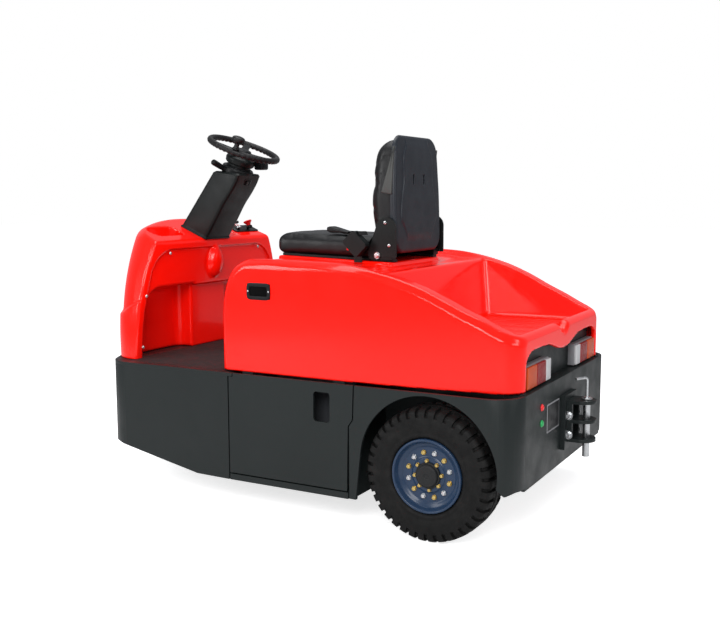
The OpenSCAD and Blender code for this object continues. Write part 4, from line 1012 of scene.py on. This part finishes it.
def addSpinnerKnob():
    # Waisted stem on a clamp and a crowned head
    knob = [(0.0, 0.0), (0.0, 0.0145), (0.005, 0.0145), (0.008, 0.011), (0.02, 0.0095), (0.026, 0.012)]
    knob += [(0.031, 0.021), (0.036, 0.0255), (0.045, 0.0265), (0.05, 0.0235), (0.0535, 0.014), (0.0542, 0.0)]
    turn = wheelHub["knobTurn"]
    at = (wheelHub["ring"] * math.cos(turn), wheelHub["ring"] * math.sin(turn), wheelHub["knobUp"])
    stem = onShaft(turned(rounded(knob, 0.003, 4, False), at, upright, 48))
    return Gathered().add(stem, "grip").piece("spinnerKnobHead", "steering_wheel", "grip", ["spinner_knob"])


def addColumn():
    # Column cover: rounded rings from the cowl to the head, the rear line bowing up to near
    # upright at the top, with a moulded skirt at its foot
    low, high = [0, 0.006, 0.014, 0.022, 0.03, 0.045], [0.975, 0.99, 1.0]
    levels = np.concatenate([low, np.linspace(0.08, 0.955, 15), high])
    rings = []
    for t in levels:
        rise = column["low"] + t * (column["high"] - column["low"])
        rear = curveOf(rise, columnRearZ, columnRearD)
        front = column["front"] - column["lean"] * t
        frontRise = rise + (1 - t) * column["lowSlope"] + t * column["topSlope"]
        swell = column["skirt"] * ease((0.03 - t) / 0.016) - 0.006 * ease((t - 0.975) / 0.025)
        width = column["width"] - column["taper"] * t + 2 * swell
        section = plate(width, front - rear + 2 * swell, column["corner"], 6)[::-1]
        along = section[:, 1] / (front - rear)
        middle = (front + rear) / 2
        bow = 1 + 0.03 * np.cos(math.pi * np.clip(along, -0.5, 0.5))
        level = rise + (along + 0.5) * (frontRise - rise)
        rings.append(np.stack([section[:, 0] * bow, station(middle) - section[:, 1], level], 1))
    cover = Gathered().add(lofted(np.array(rings)), "black")
    return cover.piece("columnCover", "chassis", "dark_plastic", ["steering_column"])


def addColumnHead():
    # Collar and switch ring round the shaft, the travel lever and its boot on the left, a
    # small box for the lights on the right, and the recessed switch on the column's rear face
    parts = Gathered()
    collar = [(-0.112, 0.0), (-0.112, 0.062), (-0.104, 0.066), (-0.084, 0.066), (-0.079, 0.062), (-0.079, 0.054)]
    collar += [(-0.074, 0.052), (-0.074, 0.0)]
    ring = [(-0.066, 0.0), (-0.066, 0.054), (-0.06, 0.06), (-0.044, 0.062)]
    ring += [(-0.036, 0.058), (-0.03, 0.044), (-0.03, 0.0)]
    parts.add(onShaft(softTurned(collar, 0.002, origin, upright)), "switch")
    parts.add(onShaft(softTurned(ring, 0.002, origin, upright)), "black")
    start, end = np.array(point(0.044, 1.434, 1.232)), np.array(point(0.116, 1.463, 1.272))
    length = float(np.linalg.norm(end - start))
    lever = [(0, 0.0), (0, 0.016), (0.012, 0.0165), (0.02, 0.0115), (0.032, 0.0105), (0.044, 0.0115)]
    lever += [(length - 0.012, 0.0125), (length - 0.004, 0.0115), (length, 0.007), (length, 0.0)]
    parts.add(softTurned(lever, 0.002, start, end - start, 40), "switch")
    box = plate(0.046, 0.046, 0.01)
    parts.add(slab(box, 0.044, 0.007, point(-0.041, 1.345, 1.262), (0, -1, 0.0), upright), "switch")
    arm = np.array([point(-0.03, 1.385, 1.262), point(-0.055, 1.372, 1.264), point(-0.078, 1.352, 1.262)])
    parts.add(swept(arm, plate(0.018, 0.016, 0.006), (0, 0, 1.0)), "switch")
    lean = math.radians(33.2)
    face = np.array([0, math.sin(lean), math.cos(lean)])
    spot = np.array(point(0, 1.3752, 1.187))
    frame = plate(0.05, 0.034, 0.006)
    out = np.cross(leftward, face)
    parts.add(slab(frame, 0.004, 0.0012, spot - out * 0.001, leftward, face), "switch")
    # thin near-black sheet: painted shade for the switch recess
    parts.add(slab(plate(0.038, 0.023, 0.004), 0.0006, 0.0002, spot + out * 0.003, leftward, face), "recessShade")
    parts.add(slab(plate(0.017, 0.017, 0.003), 0.003, 0.001, spot + out * 0.003, leftward, face), "black")
    return parts.piece("columnControls", "chassis", "dark_plastic", ["direction_lever"])


def addDashControls():
    # Stop button with a black collar and a waisted red head, and the key switch, on the panel
    parts = Gathered()
    tilt = math.atan(0.42)
    up = np.array([0, -math.sin(tilt), math.cos(tilt)])
    low, high = (np.array(corner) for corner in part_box("stop_button"))
    foot = np.array([(low[0] + high[0]) / 2, high[1] - 0.0125, low[2] + 0.0052])
    parts.add(turned([(0, 0), (0, 0.0135), (0.008, 0.0135), (0.01, 0.012), (0.01, 0)], foot, up, 40), "switch")
    head = [(0.01, 0), (0.01, 0.0085), (0.018, 0.0105), (0.026, 0.0165)]
    head += [(0.0295, 0.0195), (0.033, 0.019), (0.0345, 0.01), (0.0345, 0)]
    parts.add(softTurned(head, 0.0015, foot, up, 48), "stop")
    low, high = (np.array(corner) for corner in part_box("key_switch"))
    lock = np.array([(low[0] + high[0]) / 2, high[1] - 0.0125, low[2] + 0.0052])
    barrel = [(0, 0), (0, 0.0125), (0.004, 0.0125), (0.0055, 0.011)]
    barrel += [(0.0055, 0.009), (0.0105, 0.009), (0.0115, 0.008), (0.0115, 0)]
    parts.add(softTurned(barrel, 0.0008, lock, up, 40), "zinc")
    blade, bow = lock + up * 0.0215 - (0, 0.0045, 0), lock + up * 0.0285 - (0.0015, 0, 0)
    parts.add(slab(plate(0.0022, 0.02, 0.0008), 0.009, 0.0005, blade, (1, 0, 0), up), "zinc")
    parts.add(slab(plate(0.018, 0.012, 0.004), 0.003, 0.001, bow, np.cross(up, (1, 0, 0)), up), "switch")
    return parts.piece("dashControls", "chassis", "stop_red", ["stop_button", "key_switch"])


def addFasteners():
    # Bolts and screws on the chassis, the blank rear plate, and the two push buttons
    parts = Gathered()
    for side in (1, -1):
        cheek = [point(side * 0.048, -0.022, z) for z in (0.293, 0.362)]
        parts.add(hexHeads(cheek, (side, 0, 0), 0.019, 0.012, 0.0155), "zinc")
    blank = point(0.16, 0.0, 0.383)
    parts.add(slab(plate(0.132, 0.098, 0.004), 0.0012, 0.0004, blank, leftward, upright), "lampRim")
    parts.add(slab(plate(0.122, 0.088, 0.003), 0.0016, 0.0004, blank, leftward, upright), "label")
    button = [(0, 0), (0, 0.0125), (0.002, 0.0125), (0.003, 0.0095), (0.006, 0.0088), (0.0075, 0.004), (0.0077, 0)]
    for z, look in ((0.434, "stop"), (0.38, "green")):
        parts.add(softTurned(button, 0.001, point(0.282, 0.0, z), (0, 1, 0), 32), look)
    spots = [(side * x, z) for side in (1, -1) for x, z in ((0.452, 0.545), (0.438, 0.745))]
    spots += [(side * 0.302, 0.905) for side in (1, -1)]
    spots = [point(x, cowl["rear"] - 0.0005 - 0.062 * (z - deckZ), z) for x, z in spots]
    parts.add(screws(spots, (0, 1, 0), 0.0065), "zinc")
    return parts.piece("chassisFasteners", "chassis", "zinc")


def addDeckMat():
    # Thin rubber mat with fine ribs across, between the cowl and the rear cover
    rows, columns = 220, 12
    back, front, half, pitch = 1.139, 1.584, 0.515, 0.0162
    d, x = np.linspace(back, front, rows)[:, None], np.linspace(-half, half, columns)[None]
    edge = ease(np.minimum((d - back), (front - d)) / 0.004) * ease((half - np.abs(x)) / 0.004)
    z = deckZ + 0.0002 + (0.0024 + 0.0009 * np.cos((d - back) * 2 * math.pi / pitch)) * edge
    verts = np.stack([np.broadcast_to(x, z.shape), np.broadcast_to(station(d), z.shape), z], -1)
    under = verts.copy()
    under[..., 2] = deckZ + 0.0001
    grid = gridFaces(rows, columns)
    count = rows * columns
    border = np.concatenate([
        np.arange(columns), np.arange(1, rows) * columns + columns - 1,
        (rows - 1) * columns + np.arange(columns - 2, -1, -1), np.arange(rows - 2, 0, -1) * columns,
    ])
    after = np.roll(border, -1)
    sides = np.stack([border, after, after + count, border + count], 1)
    every = np.concatenate([verts.reshape(-1, 3), under.reshape(-1, 3)])
    mat = (every, np.concatenate([grid, grid[:, ::-1] + count, sides]))
    return Gathered().add(mat, "deck").piece("deckMatRibbed", "chassis", "grip")


def addSeatTrim():
    # Lighter grey triangles on the backrest's sides as painted reflection of light on the black vinyl, bolts of the
    # side plates
    parts = Gathered()
    for side in (1, -1):
        right, up = np.array([0, side, 0.0]), np.array([-0.09 * side, 0, 0.996])
        corners = [(side * (0.6 - d), z - 1.2) for d, z in ((0.598, 1.31), (0.642, 1.142), (0.6, 1.134))]
        outline = rounded(corners[::side], 0.006, 4)
        # triangle in lighter grey: painted reflection on the backrest's side
        parts.add(slab(outline, 0.01, 0.003, point(side * 0.1865, 0.6, 1.2), right, up), "sideSheen")
        parts.add(hexHeads([point(side * 0.211, 0.652, 0.9155)], (side, 0, 0), 0.017, 0.009, 0.012), "zinc")
        small = [point(side * 0.211, 0.62, 1.034), point(side * 0.211, 0.604, 0.952)]
        parts.add(screws(small, (side, 0, 0), 0.006), "zinc")
    return parts.piece("seatTrim", "rear_cover", "seat_shell")


def addBelt():
    # Reel cover, the webbing that leaves it and lies on the cushion, its tongue, and the buckle
    parts = Gathered()
    strap = [(0.226, 0.7, 0.99), (0.218, 0.712, 1.002), (0.202, 0.735, 0.999), (0.18, 0.765, 0.991)]
    strap += [(0.158, 0.8, 0.99), (0.146, 0.83, 0.994), (0.142, 0.86, 0.998)]
    knots = np.array([point(*at) for at in strap])
    t, fine = np.arange(len(knots)), np.linspace(0, len(knots) - 1, 49)
    path = np.stack([curveOf(fine, t, knots[:, k]) for k in range(3)], 1)
    side = np.cross(np.gradient(path, axis=0), upright)
    side /= np.linalg.norm(side, axis=1, keepdims=True)
    parts.add(swept(path, plate(0.036, 0.0018, 0.0006, 3), side), "webbing")
    t = np.linspace(0, 1, 16)
    thick = 0.005 + 0.019 * ease(t * 1.1) - 0.008 * ease((t - 0.9) / 0.1)
    middle = np.array([point(0.142, 0.8 + 0.09 * a, 0.995 + 0.011 * a) for a in t])
    section = plate(1, 1, 0.25)
    across, up = np.array([1.0, 0, 0]), np.array([0, 0, 1.0])
    rings = middle[:, None] + across * (section[:, 0] * 0.05)[None, :, None]
    rings = rings + up * (thick[:, None] * section[:, 1])[..., None]
    parts.add(lofted(rings), "switch")
    release = plate(0.012, 0.034, 0.003)
    parts.add(slab(release, 0.006, 0.001, point(0.2345, 0.757, 0.95), (0, 1, 0.0), upright), "stop")
    return parts.piece("seatBelt", "rear_cover", "dark_plastic")


addTailLamps()
addPullHandles()
addSteeringWheel()
addSpinnerKnob()
addColumn()
addColumnHead()
addDashControls()
addFasteners()
addDeckMat()
addSeatTrim()
addBelt()
print("small parts done")


stage = {"floorSize": 30.0, "worldLevel": 0.4, "floorGlow": 0.72}


def addFloor():
    # Large pale sheet on the ground, white to the camera, with the object's shadow
    half = stage["floorSize"]
    mesh = bpy.data.meshes.new("studioFloor")
    corners = [(-half, -half, 0), (half, -half, 0), (half, half, 0), (-half, half, 0)]
    mesh.from_pydata(corners, [], [(0, 1, 2, 3)])
    floor = bpy.data.objects.new("studioFloor", mesh)
    bpy.context.scene.collection.objects.link(floor)
    made = Shader("floorWhite", (0.8, 0.8, 0.8), 0.9)
    seen = made.node("LightPath").outputs["Is Camera Ray"]
    made.bsdf.inputs["Emission Color"].default_value = (1, 1, 1, 1)
    made.tree.links.new(made.ramp(seen, 0, stage["floorGlow"]), made.bsdf.inputs["Emission Strength"])
    mesh.materials.append(made.material)
    return floor


def addWorld():
    # Plain pale light from all round, seen as white by the camera
    world = bpy.data.worlds.new("studio")
    bpy.context.scene.world = world
    world.use_nodes = True
    tree = world.node_tree
    tree.nodes.clear()
    out = tree.nodes.new("ShaderNodeOutputWorld")
    light = tree.nodes.new("ShaderNodeBackground")
    light.inputs["Color"].default_value = (0.93, 0.95, 1.0, 1)
    light.inputs["Strength"].default_value = stage["worldLevel"]
    white = tree.nodes.new("ShaderNodeBackground")
    white.inputs["Color"].default_value = (1, 1, 1, 1)
    path = tree.nodes.new("ShaderNodeLightPath")
    mix = tree.nodes.new("ShaderNodeMixShader")
    tree.links.new(path.outputs["Is Camera Ray"], mix.inputs["Fac"])
    tree.links.new(light.outputs[0], mix.inputs[1])
    tree.links.new(white.outputs[0], mix.inputs[2])
    tree.links.new(mix.outputs[0], out.inputs["Surface"])


def addLamp(name, place, target, size, power):
    # Soft box turned from its place to a target
    data = bpy.data.lights.new(name, "AREA")
    data.shape = "RECTANGLE"
    data.size, data.size_y = size
    data.energy = power
    lamp = bpy.data.objects.new(name, data)
    bpy.context.scene.collection.objects.link(lamp)
    lamp.location = place
    lamp.rotation_mode = "QUATERNION"
    lamp.rotation_quaternion = (Vector(target) - Vector(place)).to_track_quat("-Z", "Y")
    return lamp


photoCamera = {
    "pan": 118.6276, "pitch": 6.7152, "roll": -0.1415, "lens": 48.1724, "shift": (-0.00689, -0.01674),
    "place": (3.302, 1.829, 1.128),
}


def addCamera():
    # Camera solved from the photo: place, pan, pitch, roll, focal length and shifted centre
    pan, pitch, roll = (math.radians(photoCamera[key]) for key in ("pan", "pitch", "roll"))
    right = np.array([math.cos(pan), math.sin(pan), 0])
    back = np.array([math.sin(pan) * math.cos(pitch), -math.cos(pan) * math.cos(pitch), math.sin(pitch)])
    up = np.cross(back, right)
    rightRolled = right * math.cos(roll) + up * math.sin(roll)
    upRolled = up * math.cos(roll) - right * math.sin(roll)
    data = bpy.data.cameras.new("photoCamera")
    data.sensor_width = 36
    data.lens = photoCamera["lens"]
    data.shift_x, data.shift_y = photoCamera["shift"]
    data.clip_start, data.clip_end = 0.05, 100
    camera = bpy.data.objects.new("photoCamera", data)
    bpy.context.scene.collection.objects.link(camera)
    matrix = np.eye(4)
    matrix[:3] = np.stack([rightRolled, upRolled, back, photoCamera["place"]], 1)
    camera.matrix_world = Matrix(matrix.tolist())
    bpy.context.scene.camera = camera


addFloor()
addWorld()
addLamp("keySoftbox", (4.4, 1.6, 3.0), (0, 0, 0.6), (2.4, 2.0), 190)
addLamp("sideSoftbox", (3.6, -2.6, 2.2), (0, -0.2, 0.6), (1.2, 2.6), 90)
addLamp("topSoftbox", (0.0, 0.0, 4.2), (0, 0, 0), (3.0, 3.0), 130)
addLamp("tailSoftbox", (0.6, 4.6, 2.4), (0, 0.4, 0.5), (2.0, 1.2), 50)
addCamera()
bpy.context.scene.view_settings.view_transform = "Standard"

softNodes = (
    "nose_frame side_plate_left side_plate_right rear_plate door_left door_right deck_plate hitch_frame"
    " battery_tray lamp_panel seat_rails seat_hinges belt_reel belt_buckle control_panel pedals steer_fork hitch_pin"
)
for name in softNodes.split():
    softEdges(nodes[name])
